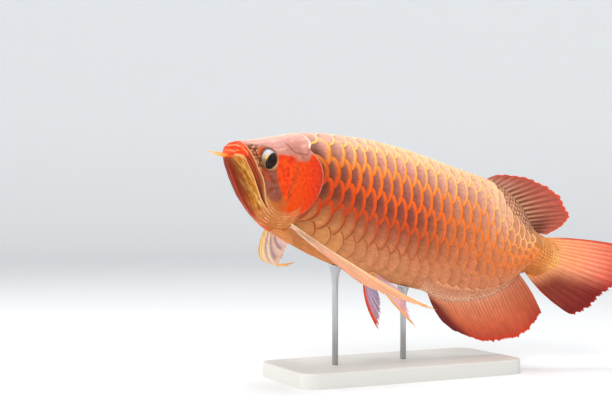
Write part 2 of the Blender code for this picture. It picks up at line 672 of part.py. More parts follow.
def build_midline_fins(tree):
    out = {}
    dorsal = fin_grid(
        flat([(0, .757, .012), (.1, .778, .010), (.25, .808, .006), (.4, .838, -.005), (.55, .866, -.020),
              (.7, .890, -.038), (.8, .903, -.050), (.9, .914, -.060), (1, .926, -.0680)]),
        flat([(0, .768, .0235), (.06, .785, .0370), (.15, .820, .0470), (.27, .868, .0560), (.4, .915, .0545),
              (.53, .952, .0400), (.65, .980, .0190), (.77, .999, .0020), (.88, .990, -.0230), (1, .957, -.0620)]),
        18, 5)
    out["dorsal_fin"] = make_fin("dorsal_fin", dorsal[0], (.00110, .00045, .00050, .00032), tree)
    anal = fin_grid(
        flat([(0, .677, -.288), (.1, .708, -.296), (.25, .755, -.293), (.4, .802, -.282), (.55, .843, -.263),
              (.7, .878, -.239), (.85, .905, -.210), (1, .9235, -.1780)]),
        flat([(0, .752, -.352), (.1, .800, -.364), (.25, .860, -.3670), (.4, .905, -.361), (.55, .945, -.347),
              (.7, .980, -.328), (.85, 1.008, -.297), (1, 1.021, -.247)]),
        26, 5, bow=lambda u: np.stack([-.006 * (1 - u) + .016 * u ** 6, 0 * u, -.012 * (1 - u) ** 2], -1))
    out["anal_fin"] = make_fin("anal_fin", anal[0], (.00110, .00045, .00050, .00032), tree)
    tail = fin_grid(
        flat([(0, .955, -.0700), (.25, .970, -.0900), (.5, .976, -.1150), (.75, .965, -.1480), (1, .940, -.1700)]),
        flat([(0, 1.150, -.0130), (.1, 1.172, -.0220), (.25, 1.183, -.0480), (.4, 1.180, -.0800),
              (.55, 1.168, -.1150), (.7, 1.150, -.1520), (.8, 1.134, -.1830), (.9, 1.112, -.2120),
              (.96, 1.084, -.2230), (1, 1.052, -.2160)]),
        16, 7, bow=lambda u: np.stack([0 * u, 0 * u, .010 * (1 - 2 * u)], -1))
    out["tail_fin"] = make_fin("tail_fin", tail[0], (.00130, .00045, .00060, .00032), tree, GAP * 2.2)
    return out


def swept(root, control, margin, rays, rows, split=.04):
    """Paired fin: each ray is a curve from the root line past its control point to the margin."""
    u = np.linspace(0, 1, 2 * rays - 1)
    t = np.linspace(0, 1, rows)[None, :, None]
    a, c, b = root(u)[:, None], control(u)[:, None], margin(u)[:, None]
    web = (np.arange(len(u)) % 2 == 1)[:, None, None]
    b = b + (c - b) * split * web
    return a * (1 - t) ** 2 + 2 * c * t * (1 - t) + b * t * t


PECTORALS = {
    "pectoral_fin_left": dict(
        root=[(0, .196, -.052, -.198), (1, .212, -.046, -.216)],
        control=[(0, .400, -.132, -.318), (.5, .330, -.105, -.288), (1, .262, -.075, -.256)],
        margin=[(0, .590, -.200, -.336), (.12, .560, -.192, -.3375), (.4, .470, -.158, -.333),
                (.7, .390, -.122, -.318), (1, .318, -.090, -.286)]),
    "pectoral_fin_right": dict(
        root=[(0, .186, .052, -.206), (1, .208, .046, -.218)],
        control=[(0, .312, .226, -.326), (.5, .275, .130, -.275), (1, .250, .070, -.230)],
        margin=[(0, .459, .296, -.260), (.12, .432, .276, -.273), (.4, .362, .215, -.280),
                (.7, .330, .150, -.256), (1, .292, .092, -.233)]),
}
PELVICS = {
    "pelvic_fin_left": dict(
        root=[(0, .484, -.020, -.276), (1, .506, -.018, -.282)],
        control=[(0, .526, -.042, -.338), (1, .535, -.034, -.292)],
        margin=[(0, .629, -.075, -.386), (.3, .610, -.062, -.366), (.6, .590, -.052, -.338), (1, .564, -.045, -.304)]),
    "pelvic_fin_right": dict(
        root=[(0, .484, .020, -.276), (1, .506, .018, -.282)],
        control=[(0, .500, .038, -.352), (1, .530, .034, -.300)],
        margin=[(0, .596, .062, -.410), (.3, .586, .055, -.384), (.6, .577, .050, -.352), (1, .560, .045, -.322)]),
}


def build_paired_fins(tree):
    out = {}
    for table, rays, rows, thick in ((PECTORALS, 8, 9, (.0016, .00050, .00060, .00034)),
                                     (PELVICS, 6, 8, (.0012, .00045, .00050, .00032))):
        for name, d in table.items():
            line = lambda key: (lambda u, k=d[key]: path3(u, k))
            middle = swept(line("root"), line("control"), line("margin"), rays, rows)
            nu, nt = middle.shape[:2]
            t = np.linspace(0, 1, nt)
            web = np.arange(nu) % 2 == 1
            half = np.where(web[:, None], thick[2] + (thick[3] - thick[2]) * t,
                            thick[0] + (thick[1] - thick[0]) * t)
            half[0] *= 1.5 - .3 * t                     # the first ray is the stout one
            near, far = fin_solid(bend(middle), half)
            out[name] = make(name, *patch_solid(*seat(near, far, tree)))
    return out


# ------------------------------------------------------------------ barbels and stand
def tube(path, radii, sides):
    """Closed tapering tube along a path in metres."""
    path = np.array(path, float)
    verts, faces = [path[0]], []
    for i, (p, r) in enumerate(zip(path, radii)):
        d = path[min(i + 1, len(path) - 1)] - path[max(i - 1, 0)]
        d /= np.linalg.norm(d)
        a = np.cross(d, (0, 0, 1.0) if abs(d[2]) < .9 else (1.0, 0, 0))
        a /= np.linalg.norm(a)
        b = np.cross(d, a)
        for k in range(sides):
            q = 2 * math.pi * k / sides
            verts.append(p + r * (a * math.cos(q) + b * math.sin(q)))
    verts.append(path[-1])
    for k in range(sides):
        m = (k + 1) % sides
        faces.append((0, 1 + k, 1 + m))
        for i in range(len(path) - 1):
            a, b = 1 + i * sides + k, 1 + i * sides + m
            faces += [(a, a + sides, b + sides), (a, b + sides, b)]
        last = 1 + (len(path) - 1) * sides
        faces.append((last + k, len(verts) - 1, last + m))
    return verts, faces


BARBELS = {
    "barbel_left": [(.0245, -.0050, -.0620), (.012, -.0080, -.0590), (-.006, -.0110, -.0570), (-.022, -.0130, -.0565),
                    (-.037, -.0140, -.0565)],
    "barbel_right": [(.0245, .0050, -.0625), (.018, .0070, -.0610), (.008, .0090, -.0595), (-.001, .0105, -.0585),
                     (-.010, .0115, -.0580)],
}


def build_barbels(tree):
    out = {}
    for name, knots in BARBELS.items():
        rows = [(i / (len(knots) - 1), *k) for i, k in enumerate(knots)]
        path = bend(path3(np.linspace(0, 1, 8), rows))
        start, d = Vector(path[3]), Vector(path[0] - path[3]).normalized()
        hit, normal, _, _ = tree.ray_cast(start, d, .03)
        if hit is not None:
            path[0] = np.array(hit - d * .0010)
            for k in (1, 2):
                path[k] = path[0] + (path[3] - path[0]) * k / 3
        radii = np.linspace(.0010, .00050, 8)
        out[name] = make(name, *tube(path, radii, 6))
    return out


def build_stand(tree):
    out = {}
    n, ring = 6, []
    for cx, cy, start in ((1, 1, 0), (-1, 1, 1), (-1, -1, 2), (1, -1, 3)):
        for k in range(n + 1):
            q = math.pi / 2 * (start + k / n)
            ring.append((cx * (BASE_LENGTH / 2 - BASE_CORNER) + BASE_CORNER * math.cos(q),
                         cy * (BASE_WIDTH / 2 - BASE_CORNER) + BASE_CORNER * math.sin(q)))
    edge = .0018
    layers = [(0.0, 0.0), (0.0, BASE_HEIGHT - edge), (edge * .3, BASE_HEIGHT - edge * .3), (edge, BASE_HEIGHT)]
    verts, faces, m = [], [], len(ring)
    for inset, z in layers:
        for x, y in ring:
            verts.append((x - math.copysign(inset, x), y - math.copysign(inset, y), z))
    for i in range(len(layers) - 1):
        for k in range(m):
            a, b = i * m + k, i * m + (k + 1) % m
            faces.append((a, b, b + m, a + m))
    faces += [tuple(range(m - 1, -1, -1)), tuple(range(3 * m, 4 * m))]
    out["stand_base"] = make("stand_base", verts, faces)
    for name, s in ROD_STATIONS.items():
        foot = bend(np.array([s, 0, float(low_line(s))]))
        sides = 12
        spots = [(math.cos(2 * math.pi * k / sides), math.sin(2 * math.pi * k / sides)) for k in range(sides)]
        under = lambda x, y: tree.ray_cast(Vector((x, y, BASE_HEIGHT + .001)), Vector((0, 0, 1)), 1.0)[0].z
        yaw = turn(s, HEAD_YAW, TAIL_YAW)
        ahead, aside = ROD_PAD * math.cos(yaw), ROD_PAD * math.sin(yaw)
        low, high = under(foot[0] + ahead, foot[1] + aside), under(foot[0] - ahead, foot[1] - aside)
        centre = min(under(foot[0], foot[1]), (low + high) / 2)
        slope = (low - high) / (2 * ROD_PAD)
        verts = [(foot[0], foot[1], BASE_HEIGHT + GAP)]
        for z, r in ((BASE_HEIGHT + GAP, ROD_RADIUS), (centre - .014, ROD_RADIUS), (centre - .006, ROD_PAD * .8)):
            verts += [(foot[0] + r * a, foot[1] + r * b, z) for a, b in spots]
        for r in (ROD_PAD, 0.0):
            for a, b in (spots if r else [(0, 0)]):
                along = r * (a * math.cos(yaw) + b * math.sin(yaw))
                verts.append((foot[0] + r * a, foot[1] + r * b, centre + slope * along - GAP * 1.3))
        faces = []
        for k in range(sides):
            q = (k + 1) % sides
            faces.append((0, 1 + q, 1 + k))
            for i in range(3):
                a, b = 1 + i * sides + k, 1 + i * sides + q
                faces.append((a, b, b + sides, a + sides))
            faces.append((1 + 3 * sides + k, 1 + 3 * sides + q, len(verts) - 1))
        out[name] = make(name, verts, triangles(verts, faces))
    return out


def tree_of(objects):
    verts, faces = [], []
    for obj in objects:
        base = len(verts)
        verts += [v.co.copy() for v in obj.data.vertices]
        faces += [[q + base for q in p.vertices] for p in obj.data.polygons]
    return BVHTree.FromPolygons(verts, faces)


def main():
    for obj in list(bpy.data.objects):
        bpy.data.objects.remove(obj, do_unlink=True)
    trunk = build_trunk()
    head = build_head()
    tree = tree_of(list(trunk.values()) + list(head.values()))
    build_midline_fins(tree)
    build_paired_fins(tree)
    build_barbels(tree)
    build_stand(tree)
    total = 0
    for obj in bpy.data.objects:
        obj.data.calc_loop_triangles()
        n = len(obj.data.loop_triangles)
        total += n
        print(obj.name, n)
    print("triangles", total)


main()
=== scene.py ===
"""Looks of the life-size asian arowana: skin, scales, eyes, fins, barbels, stand and studio.

The fish is described straight, in body lengths: s runs tailwards, y to its right and z up,
and v is the share of the girth from the back's midline (0) to the keel (1). One bend lays
every piece on the swimming curve, in metres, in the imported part's own frame.
"""

import logging
import math
from dataclasses import dataclass, field
from enum import Enum
from typing import Callable, Iterator, Sequence

import bpy
import numpy as np
from bpy.types import Camera, Light, Material, Mesh, Node, NodeSocket, Object
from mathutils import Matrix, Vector


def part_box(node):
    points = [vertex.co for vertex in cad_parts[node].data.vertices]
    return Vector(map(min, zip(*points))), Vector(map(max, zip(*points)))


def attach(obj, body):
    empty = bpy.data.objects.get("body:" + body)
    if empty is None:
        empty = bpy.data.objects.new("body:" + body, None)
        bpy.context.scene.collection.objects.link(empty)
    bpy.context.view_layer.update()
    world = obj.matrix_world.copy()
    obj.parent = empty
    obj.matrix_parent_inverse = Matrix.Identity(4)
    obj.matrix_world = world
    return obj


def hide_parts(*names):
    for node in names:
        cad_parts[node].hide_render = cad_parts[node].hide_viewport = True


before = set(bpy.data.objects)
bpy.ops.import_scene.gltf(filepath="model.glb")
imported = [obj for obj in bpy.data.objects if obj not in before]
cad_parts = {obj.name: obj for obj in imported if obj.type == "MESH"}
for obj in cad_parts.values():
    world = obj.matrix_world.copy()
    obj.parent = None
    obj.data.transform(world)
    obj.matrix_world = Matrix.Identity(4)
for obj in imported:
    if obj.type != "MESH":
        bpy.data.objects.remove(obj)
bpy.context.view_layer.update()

logging.basicConfig(level=logging.INFO, format="%(message)s")
LOG = logging.getLogger("arowana")

Array = np.ndarray
Curve = Callable[[Array], Array]
Points2 = Sequence[tuple[float, float]]
Rows = Sequence[Sequence[float]]
Palette = Callable[[Array, Array, Array], Array]
Tone = int | Array  # a display colour such as 0xFF8000, or linear colours

BODY = "root"
MM = 1000  # millimetres in a metre


# ---- small maths
def curve(*knots: tuple[float, float]) -> Curve:
    """Monotone cubic curve through the knots.

    Args:
        knots: (x, y) pairs with rising x.

    Returns:
        A function that reads the curve at any x, held level past its ends.
    """
    x, y = np.array(knots, float).T
    h = np.diff(x)
    d = np.diff(y) / h
    m = np.zeros_like(x)
    m[0], m[-1] = d[0], d[-1]
    for i in range(1, len(x) - 1):
        if d[i - 1] * d[i] > 0:
            a, b = 2 * h[i] + h[i - 1], h[i] + 2 * h[i - 1]
            m[i] = (a + b) / (a / d[i - 1] + b / d[i])

    def at(q: Array) -> Array:
        """Value of the curve at q."""
        q = np.clip(q, x[0], x[-1])
        i = np.clip(np.searchsorted(x, q, side="right") - 1, 0, len(x) - 2)
        t = (q - x[i]) / h[i]
        return (y[i] * (1 + 2 * t) * (1 - t) ** 2 + m[i] * h[i] * t * (1 - t) ** 2
                + y[i + 1] * t * t * (3 - 2 * t) + m[i + 1] * h[i] * t * t * (t - 1))

    return at


def ease(x: Array, low: float, high: float) -> Array:
    """Smooth step from 0 at low to 1 at high."""
    t = np.clip((np.asarray(x, float) - low) / (high - low), 0, 1)
    return t * t * (3 - 2 * t)


def fall(x: Array, low: float, high: float) -> Array:
    """Smooth step from 1 at low to 0 at high."""
    return 1 - ease(x, low, high)


def bell(x: Array, width: float) -> Array:
    """Bell curve of height 1 that falls to 1/e at the given width."""
    return np.exp(-(np.asarray(x) / width) ** 2)


def spatial(u: Array, rows: Rows) -> Array:
    """Points of a smooth path given as (u, a, b, ...) rows."""
    table = np.array(rows, float)
    return vec(*(curve(*zip(table[:, 0], column))(u) for column in table[:, 1:].T))


def rounded(line: Points2, closed: bool = False, steps: int = 6) -> Array:
    """Catmull-Rom line through a few points of the side view.

    Args:
        line: (s, z) points.
        closed: whether the last point joins the first.
        steps: pieces between two given points.

    Returns:
        The finer line, one (s, z) row each.
    """
    p = np.array(line, float)
    n = len(p)
    spans = n if closed else n - 1
    pick = (lambda k: p[k % n]) if closed else (lambda k: p[min(max(k, 0), n - 1)])
    out = []
    for i in range(spans):
        a, b, c, d = pick(i - 1), pick(i), pick(i + 1), pick(i + 2)
        for t in np.arange(steps) / steps:
            out.append(.5 * (2 * b + (c - a) * t + (2 * a - 5 * b + 4 * c - d) * t ** 2
                             + (3 * b - a - 3 * c + d) * t ** 3))
    out.append(pick(spans))
    return np.array(out)


def distance(line: Array, s: Array, z: Array) -> Array:
    """Distance from a line in the side view.

    Args:
        line: the line's (s, z) points.
        s: stations.
        z: heights.

    Returns:
        The distance of every (s, z), in body lengths.
    """
    best = np.full(np.shape(s), 9.0)
    for (a, b), (c, d) in zip(line[:-1], line[1:]):
        run = max((c - a) ** 2 + (d - b) ** 2, 1e-12)
        t = np.clip(((s - a) * (c - a) + (z - b) * (d - b)) / run, 0, 1)
        best = np.minimum(best, np.hypot(s - a - t * (c - a), z - b - t * (d - b)))
    return best


def vec(*parts: Array | float) -> Array:
    """Vectors from their components."""
    return np.stack(np.broadcast_arrays(*parts), -1)


def read(x: Array, places: Sequence[float], table: Array) -> Array:
    """Rows of a table read at x, between the rows' places."""
    return vec(*(np.interp(x, places, column) for column in table.T))


def unit(vectors: Array, least: float = 0.0) -> Array:
    """Vectors of length 1; least keeps a zero vector from dividing by zero."""
    return vectors / (np.linalg.norm(vectors, axis=-1, keepdims=True) + least)


def folded(v: Array) -> Array:
    """Girth shares brought back from beyond either midline."""
    v = np.abs(v)
    return np.where(v > 1, 2 - v, v)


def near(line: Array, s: Array, z: Array, width: float) -> Array:
    """Bell curve of the distance from a line in the side view."""
    return bell(distance(line, s, z), width)


def within(loop: Points2, s: Array, z: Array, soft: float) -> Array:
    """Mask of a rounded region of the side view.

    Args:
        loop: corners of the region.
        s: stations.
        z: heights.
        soft: half width of its soft edge.

    Returns:
        1 well inside, 0 well outside.
    """
    line = rounded(loop, closed=True)
    inside = np.zeros(np.shape(s), bool)
    for (a, b), (c, d) in zip(line[:-1], line[1:]):
        rise = d - b if abs(d - b) > 1e-12 else 1e-12
        inside ^= ((b > z) != (d > z)) & (s < (c - a) * (z - b) / rise + a)
    return ease(np.where(inside, 1, -1) * distance(line, s, z), -soft, soft)


def rgb(tone: Tone) -> Array:
    """Linear colour of a display colour; one that is linear already stays as it is."""
    if not isinstance(tone, int):
        return tone
    c = np.array([tone >> 16, tone >> 8 & 255, tone & 255]) / 255
    return np.where(c <= .04045, c / 12.92, ((c + .055) / 1.055) ** 2.4)


def rgbs(tones: Sequence[int]) -> Array:
    """Linear colours, one row for each display colour."""
    return np.array([rgb(tone) for tone in tones])


def over(base: Tone, *layers: tuple[Tone, Array]) -> Array:
    """Colours laid over a base, one after the other.

    Args:
        base: what lies underneath.
        layers: (colour, mask) pairs; a mask is 1 where its colour hides what is below.

    Returns:
        The linear colours.
    """
    base = rgb(base)
    for tone, mask in layers:
        base = base * (1 - mask[..., None]) + rgb(tone) * mask[..., None]
    return base


def ramp(x: Array, *stops: tuple[float, int]) -> Array:
    """Colour at x along a row of (place, colour) stops."""
    places, tones = zip(*stops)
    return read(x, places, rgbs(tones))


def ripple(seed: int, count: int = 24) -> Callable[[Array, Array], Array]:
    """Smooth random pattern in two directions, about -1 to 1.

    Args:
        seed: picks the pattern.
        count: waves that are added up.

    Returns:
        A function of two coordinates whose waves are about one unit long.
    """
    draw = np.random.default_rng(seed)
    angle, phase = draw.uniform(0, math.pi, count), draw.uniform(0, 2 * math.pi, count)
    size = draw.uniform(.5, 1.6, count) * 2 * math.pi

    def at(a: Array, b: Array) -> Array:
        """Value of the pattern at (a, b)."""
        total = np.zeros(np.broadcast(a, b).shape)
        for q, f, p in zip(angle, size, phase):
            total += np.sin(f * (a * math.cos(q) + b * math.sin(q)) + p)
        return total / math.sqrt(count / 2) * .7

    return at


# ---- body shape
class Side(Enum):
    """Which side of the fish a piece is on."""

    LEFT = -1
    RIGHT = 1

    @property
    def word(self) -> str:
        """The side's name as the pieces carry it."""
        return self.name.lower()


@dataclass
class BodyShape:
    """The straight body's outline and sections, and the curve that it swims on."""

    length: float = .46
    head_yaw: float = math.radians(17.0)
    tail_yaw: float = math.radians(-21.0)
    head_pitch: float = math.radians(4.2)
    tail_pitch: float = math.radians(22.2)
    rigid: float = .18
    balance: float = .5
    snout_height: float = .262
    top: Curve = curve(
        (.0215, -.051), (.023, -.046), (.026, -.0405), (.031, -.0355), (.04, -.03), (.052, -.0255),
        (.07, -.0225), (.091, -.0185), (.113, -.014), (.136, -.008), (.159, -.003), (.182, .002),
        (.206, .007), (.241, .0115), (.276, .016), (.322, .02), (.368, .023), (.413, .0255), (.459, .026),
        (.504, .026), (.55, .024), (.596, .021), (.641, .018), (.687, .0165), (.731, .016), (.757, .015),
        (.79, .012), (.823, .004), (.854, -.01), (.884, -.03), (.905, -.048), (.925, -.0635),
        (.945, -.0675), (.963, -.0675), (1.0, -.064))
    low: Curve = curve(
        (.0215, -.06), (.0235, -.067), (.027, -.078), (.033, -.091), (.041, -.104), (.051, -.121),
        (.066, -.144), (.087, -.168), (.108, -.186), (.135, -.205), (.165, -.2185), (.21, -.235),
        (.264, -.251), (.323, -.266), (.381, -.277), (.44, -.284), (.5, -.288), (.55, -.29), (.591, -.2915),
        (.62, -.291), (.65, -.29), (.675, -.2925), (.708, -.3), (.755, -.297), (.802, -.286), (.843, -.267),
        (.878, -.243), (.903, -.217), (.917, -.192), (.928, -.174), (.94, -.169), (.955, -.171),
        (1.0, -.176))
    half_width: Curve = curve(
        (.0215, .004), (.023, .0095), (.026, .0155), (.031, .0205), (.038, .025), (.047, .029), (.06, .033),
        (.08, .0375), (.104, .0425), (.13, .048), (.16, .054), (.2, .06), (.25, .063), (.3, .065),
        (.4, .0655), (.5, .0635), (.6, .0575), (.7, .048), (.8, .0365), (.88, .0265), (.93, .02),
        (.98, .015), (1.0, .014))
    keel_width: Curve = curve(
        (.0, .003), (.1, .0035), (.3, .0035), (.64, .004), (.7, .0075), (.9, .0065), (.95, .004),
        (1.0, .004))
    s_grid: Array = field(default_factory=lambda: np.linspace(.0215, 1.0, 490))
    v_grid: Array = field(default_factory=lambda: np.linspace(0, 1, 241))
    t_grid: Array = field(default_factory=lambda: np.linspace(-.1, 1.4, 601))

    def __post_init__(self) -> None:
        """Tables of the half sections, evenly spaced along their girth, and of the spine."""
        u = (1 - np.cos(np.linspace(0, np.pi, 321))) / 2
        widths, heights = [], []
        for s in self.s_grid:
            head, tail = fall(s, .12, .27), ease(s, .78, .95)

            def mix(at_head: float, at_trunk: float, at_tail: float) -> float:
                """Section number at this station."""
                return (at_head * head + at_trunk * (1 - head)) * (1 - tail) + at_tail * tail

            widest, pt, qt = mix(.36, .36, .48), mix(3.0, 2.5, 2.0), mix(2.3, 2.2, 2.0)
            pb, qb = mix(3.0, 2.0, 2.0), mix(1.8, 1.2, 1.9)
            upper = (1 - np.clip((widest - u) / widest, 0, 1) ** pt) ** (1 / qt)
            lower = (1 - np.clip((u - widest) / (1 - widest), 0, 1) ** pb) ** (1 / qb)
            y = self.half_width(s) * np.where(u < widest, upper, lower)
            y = np.maximum(y, self.keel_width(s) * (1 - np.abs(2 * u - 1) ** 24) ** .5)
            z = self.top(s) - u * (self.top(s) - self.low(s))
            arc = np.concatenate([[0], np.cumsum(np.hypot(np.diff(y), np.diff(z)))])
            widths.append(np.interp(self.v_grid, arc / arc[-1], y))
            heights.append(np.interp(self.v_grid, arc / arc[-1], z))
        self.tables = (np.array(widths), np.array(heights))
        self._build_spine()

    def _turn(self, t: Array, head: float, tail: float) -> Array:
        """Angle of the spine at t, from its head value to its tail value."""
        return head + (tail - head) * np.clip((t - self.rigid) / (1 - self.rigid), 0, 1.0)

    def _build_spine(self) -> None:
        """Adds up the spine's directions into points of the room."""
        yaw = self._turn(self.t_grid, self.head_yaw, self.tail_yaw)
        pitch = self._turn(self.t_grid, self.head_pitch, self.tail_pitch)
        tangent = vec(np.cos(pitch) * np.cos(yaw), np.cos(pitch) * np.sin(yaw), -np.sin(pitch))
        inner = (tangent[1:] + tangent[:-1]) / 2 * (self.t_grid[1] - self.t_grid[0])
        spine = np.concatenate([[np.zeros(3)], np.cumsum(inner, 0)])
        spine -= read(0, self.t_grid, spine)
        middle = read(self.balance, self.t_grid, spine)
        shift = np.array([-middle[0] * self.length, -middle[1] * self.length, self.snout_height])
        self.spine = self.length * spine + shift

    def sample(self, s: Array, v: Array) -> tuple[Array, Array]:
        """Section of the plain body.

        Args:
            s: stations.
            v: girth shares, which may run past the midlines.

        Returns:
            The half width, negative past a midline, and the height.
        """
        s, v = np.broadcast_arrays(np.asarray(s, float), np.asarray(v, float))
        sign = np.where(v < 0, -1.0, 1.0) * np.where(v > 1, -1.0, 1.0)
        v = folded(v)
        step = self.s_grid[1] - self.s_grid[0]
        a = np.clip((s - self.s_grid[0]) / step, 0, len(self.s_grid) - 1.0001)
        b = np.clip(v * (len(self.v_grid) - 1), 0, len(self.v_grid) - 1.0001)
        i, j = a.astype(int), b.astype(int)
        a, b = a - i, b - j
        out = [(t[i, j] * (1 - a) + t[i + 1, j] * a) * (1 - b)
               + (t[i, j + 1] * (1 - a) + t[i + 1, j + 1] * a) * b for t in self.tables]
        return out[0] * sign, out[1]

    def v_at(self, s: float, z: float) -> float:
        """Girth share at which the side of the body passes the height z."""
        i = int(np.clip(np.searchsorted(self.s_grid, s), 1, len(self.s_grid) - 1))
        t = np.clip((s - self.s_grid[i - 1]) / (self.s_grid[i] - self.s_grid[i - 1]), 0, 1)
        row = self.tables[1][i - 1] * (1 - t) + self.tables[1][i] * t
        return float(np.interp(-z, -row, self.v_grid))

    def girth(self, s: float) -> float:
        """Half girth at a station, in body lengths."""
        y, z = self.sample(s, self.v_grid)
        return float(np.hypot(np.diff(y), np.diff(z)).sum())

    def skin(self, s: Array, v: Array, side: int, lift: Array = 0.0) -> Array:
        """Points of the straight body, moved out along its normal.

        Args:
            s: stations.
            v: girth shares.
            side: -1 for the left, 1 for the right.
            lift: how far to move out, in body lengths.

        Returns:
            (..., 3) points in body lengths.
        """
        e, f = .003, .004
        y, z = self.sample(s, v)
        ys, zs = self.sample(np.asarray(s) + e, v)
        yr, zr = self.sample(np.asarray(s) - e, v)
        yv, zv = self.sample(s, np.asarray(v) + f)
        yu, zu = self.sample(s, np.asarray(v) - f)
        ds = vec(2 * e, ys - yr, zs - zr)
        dv = vec(0.0, yv - yu, zv - zu)
        n = unit(np.cross(ds, dv), 1e-12)
        inwards = vec(0.0, -y - 1e-9, -(z + .13) * (np.abs(y) < 1e-6))
        n *= -np.sign(np.sum(n * inwards, -1, keepdims=True) + 1e-12)
        p = vec(s, y, z) + n * np.asarray(lift)[..., None]
        p[..., 1] *= side
        return p

    def bend(self, points: Array) -> Array:
        """Lays points on the swimming curve.

        Args:
            points: (..., 3) points of the straight fish in body lengths.

        Returns:
            The points in metres in the room.
        """
        p = np.asarray(points, float)
        s = p[..., 0]
        centre = read(s, self.t_grid, self.spine)
        yaw = self._turn(s, self.head_yaw, self.tail_yaw)
        pitch = self._turn(s, self.head_pitch, self.tail_pitch)
        aside = vec(-np.sin(yaw), np.cos(yaw), 0.0)
        up = vec(np.sin(pitch) * np.cos(yaw), np.sin(pitch) * np.sin(yaw), np.cos(pitch))
        return centre + self.length * (p[..., 1:2] * aside + p[..., 2:3] * up)


# ---- meshes
def put(mesh: Mesh, name: str, values: Array) -> None:
    """Stores one value, vector or colour for each point of a mesh."""
    values = np.asarray(values, np.float32)
    kind, key = {1: ("FLOAT", "value"), 3: ("FLOAT_VECTOR", "vector"), 4: ("FLOAT_COLOR", "color")}[
        1 if values.ndim == 1 else values.shape[1]]
    mesh.attributes.new(name, kind, "POINT").data.foreach_set(key, values.ravel())


def paint(mesh: Mesh, name: str, colours: Array) -> None:
    """Stores a colour for each point of a mesh."""
    flat = np.clip(colours.reshape(-1, 3), 0, 1)
    put(mesh, name, np.concatenate([flat, np.ones((len(flat), 1))], 1))


def lay_out(mesh: Mesh, places: Array) -> None:
    """Gives every face corner the place of its point on the map that the finish is baked on.

    Args:
        mesh: the mesh.
        places: a place from 0 to 1 for each point.
    """
    corners = np.empty(len(mesh.loops), np.int32)
    mesh.loops.foreach_get("vertex_index", corners)
    layer = mesh.uv_layers.new(name="OFBake")
    layer.data.foreach_set("uv", np.asarray(places[corners], np.float32).ravel())


def lay_grid(mesh: Mesh, rows: int, columns: int) -> None:
    """Lays a sheet's rows and columns of points out as a square."""
    i, j = np.meshgrid(np.linspace(.01, .99, rows), np.linspace(.01, .99, columns), indexing="ij")
    lay_out(mesh, vec(i, j).reshape(-1, 2))


def points_of(mesh: Mesh) -> Array:
    """Every point's place, one row each."""
    co = np.empty(len(mesh.vertices) * 3, np.float32)
    mesh.vertices.foreach_get("co", co)
    return co.reshape(-1, 3).astype(float)


def shape(obj: Object, name: str, points: Array) -> None:
    """Names a new primitive, moves its points and drops its own maps."""
    obj.name = obj.data.name = name
    obj.data.vertices.foreach_set("co", np.asarray(points, np.float32).ravel())
    while obj.data.uv_layers:
        obj.data.uv_layers.remove(obj.data.uv_layers[0])
    obj.data.update()


def added(name: str, data: Mesh | Light | Camera) -> Object:
    """A new object in the scene."""
    obj = bpy.data.objects.new(name, data)
    bpy.context.scene.collection.objects.link(obj)
    return obj


def deselect() -> None:
    """Leaves nothing selected."""
    for other in list(bpy.context.selected_objects):
        other.select_set(False)


def take(obj: Object) -> None:
    """Makes an object the only selected one."""
    deselect()
    obj.select_set(True)
    bpy.context.view_layer.objects.active = obj


def apply_all(obj: Object) -> None:
    """Applies every modifier of an object."""
    take(obj)
    for modifier in list(obj.modifiers):
        bpy.ops.object.modifier_apply(modifier=modifier.name)


def sheet(name: str, points: Array) -> Object:
    """A grid primitive shaped to rows and columns of points."""
    rows, columns = points.shape[:2]
    deselect()
    bpy.ops.mesh.primitive_grid_add(x_subdivisions=columns - 1, y_subdivisions=rows - 1, size=2)
    obj = bpy.context.active_object
    shape(obj, name, points)
    return obj


def weld(obj: Object, reach: float = 2e-6) -> None:
    """Joins points that lie on each other, drops flat faces and turns all faces outwards."""
    take(obj)
    bpy.ops.object.mode_set(mode="EDIT")
    bpy.ops.mesh.select_all(action="SELECT")
    bpy.ops.mesh.remove_doubles(threshold=reach)
    bpy.ops.mesh.dissolve_degenerate(threshold=reach)
    bpy.ops.mesh.select_all(action="SELECT")
    bpy.ops.mesh.normals_make_consistent(inside=False)
    bpy.ops.object.mode_set(mode="OBJECT")
    obj.data.shade_smooth()


def repeated(name: str, quads: Array, points: Array) -> Object:
    """One mesh of many copies of a small grid.

    Args:
        name: the object's name.
        quads: the faces of one copy, as point numbers.
        points: (copies, points of one copy, 3).

    Returns:
        The object.
    """
    copies, per = points.shape[:2]
    faces = (quads[None] + (np.arange(copies) * per)[:, None, None]).reshape(-1)
    mesh = bpy.data.meshes.new(name)
    mesh.vertices.add(copies * per)
    mesh.vertices.foreach_set("co", np.asarray(points, np.float32).ravel())
    mesh.loops.add(len(faces))
    mesh.loops.foreach_set("vertex_index", faces.astype(np.int32))
    mesh.polygons.add(len(faces) // 4)
    mesh.polygons.foreach_set("loop_start", np.arange(0, len(faces), 4, dtype=np.int32))
    mesh.update(calc_edges=True)
    mesh.validate()
    mesh.shade_smooth()
    return added(name, mesh)


def select_edges(obj: Object, wanted: Callable[[Vector, Vector], bool]) -> None:
    """Leaves the object in edit mode with only some edges selected.

    Args:
        obj: the object.
        wanted: says from an edge's two ends whether it is selected.
    """
    bpy.ops.object.mode_set(mode="EDIT")
    bpy.ops.mesh.select_mode(type="EDGE")
    bpy.ops.mesh.select_all(action="DESELECT")
    bpy.ops.object.mode_set(mode="OBJECT")
    for edge in obj.data.edges:
        edge.select = wanted(*(obj.data.vertices[k].co for k in edge.vertices))
    bpy.ops.object.mode_set(mode="EDIT")


def quads_of(rows: int, columns: int) -> Array:
    """Faces of a grid of rows and columns of points."""
    i, j = np.meshgrid(np.arange(rows - 1), np.arange(columns - 1), indexing="ij")
    a = (i * columns + j).ravel()
    return np.stack([a, a + 1, a + columns + 1, a + columns], 1)


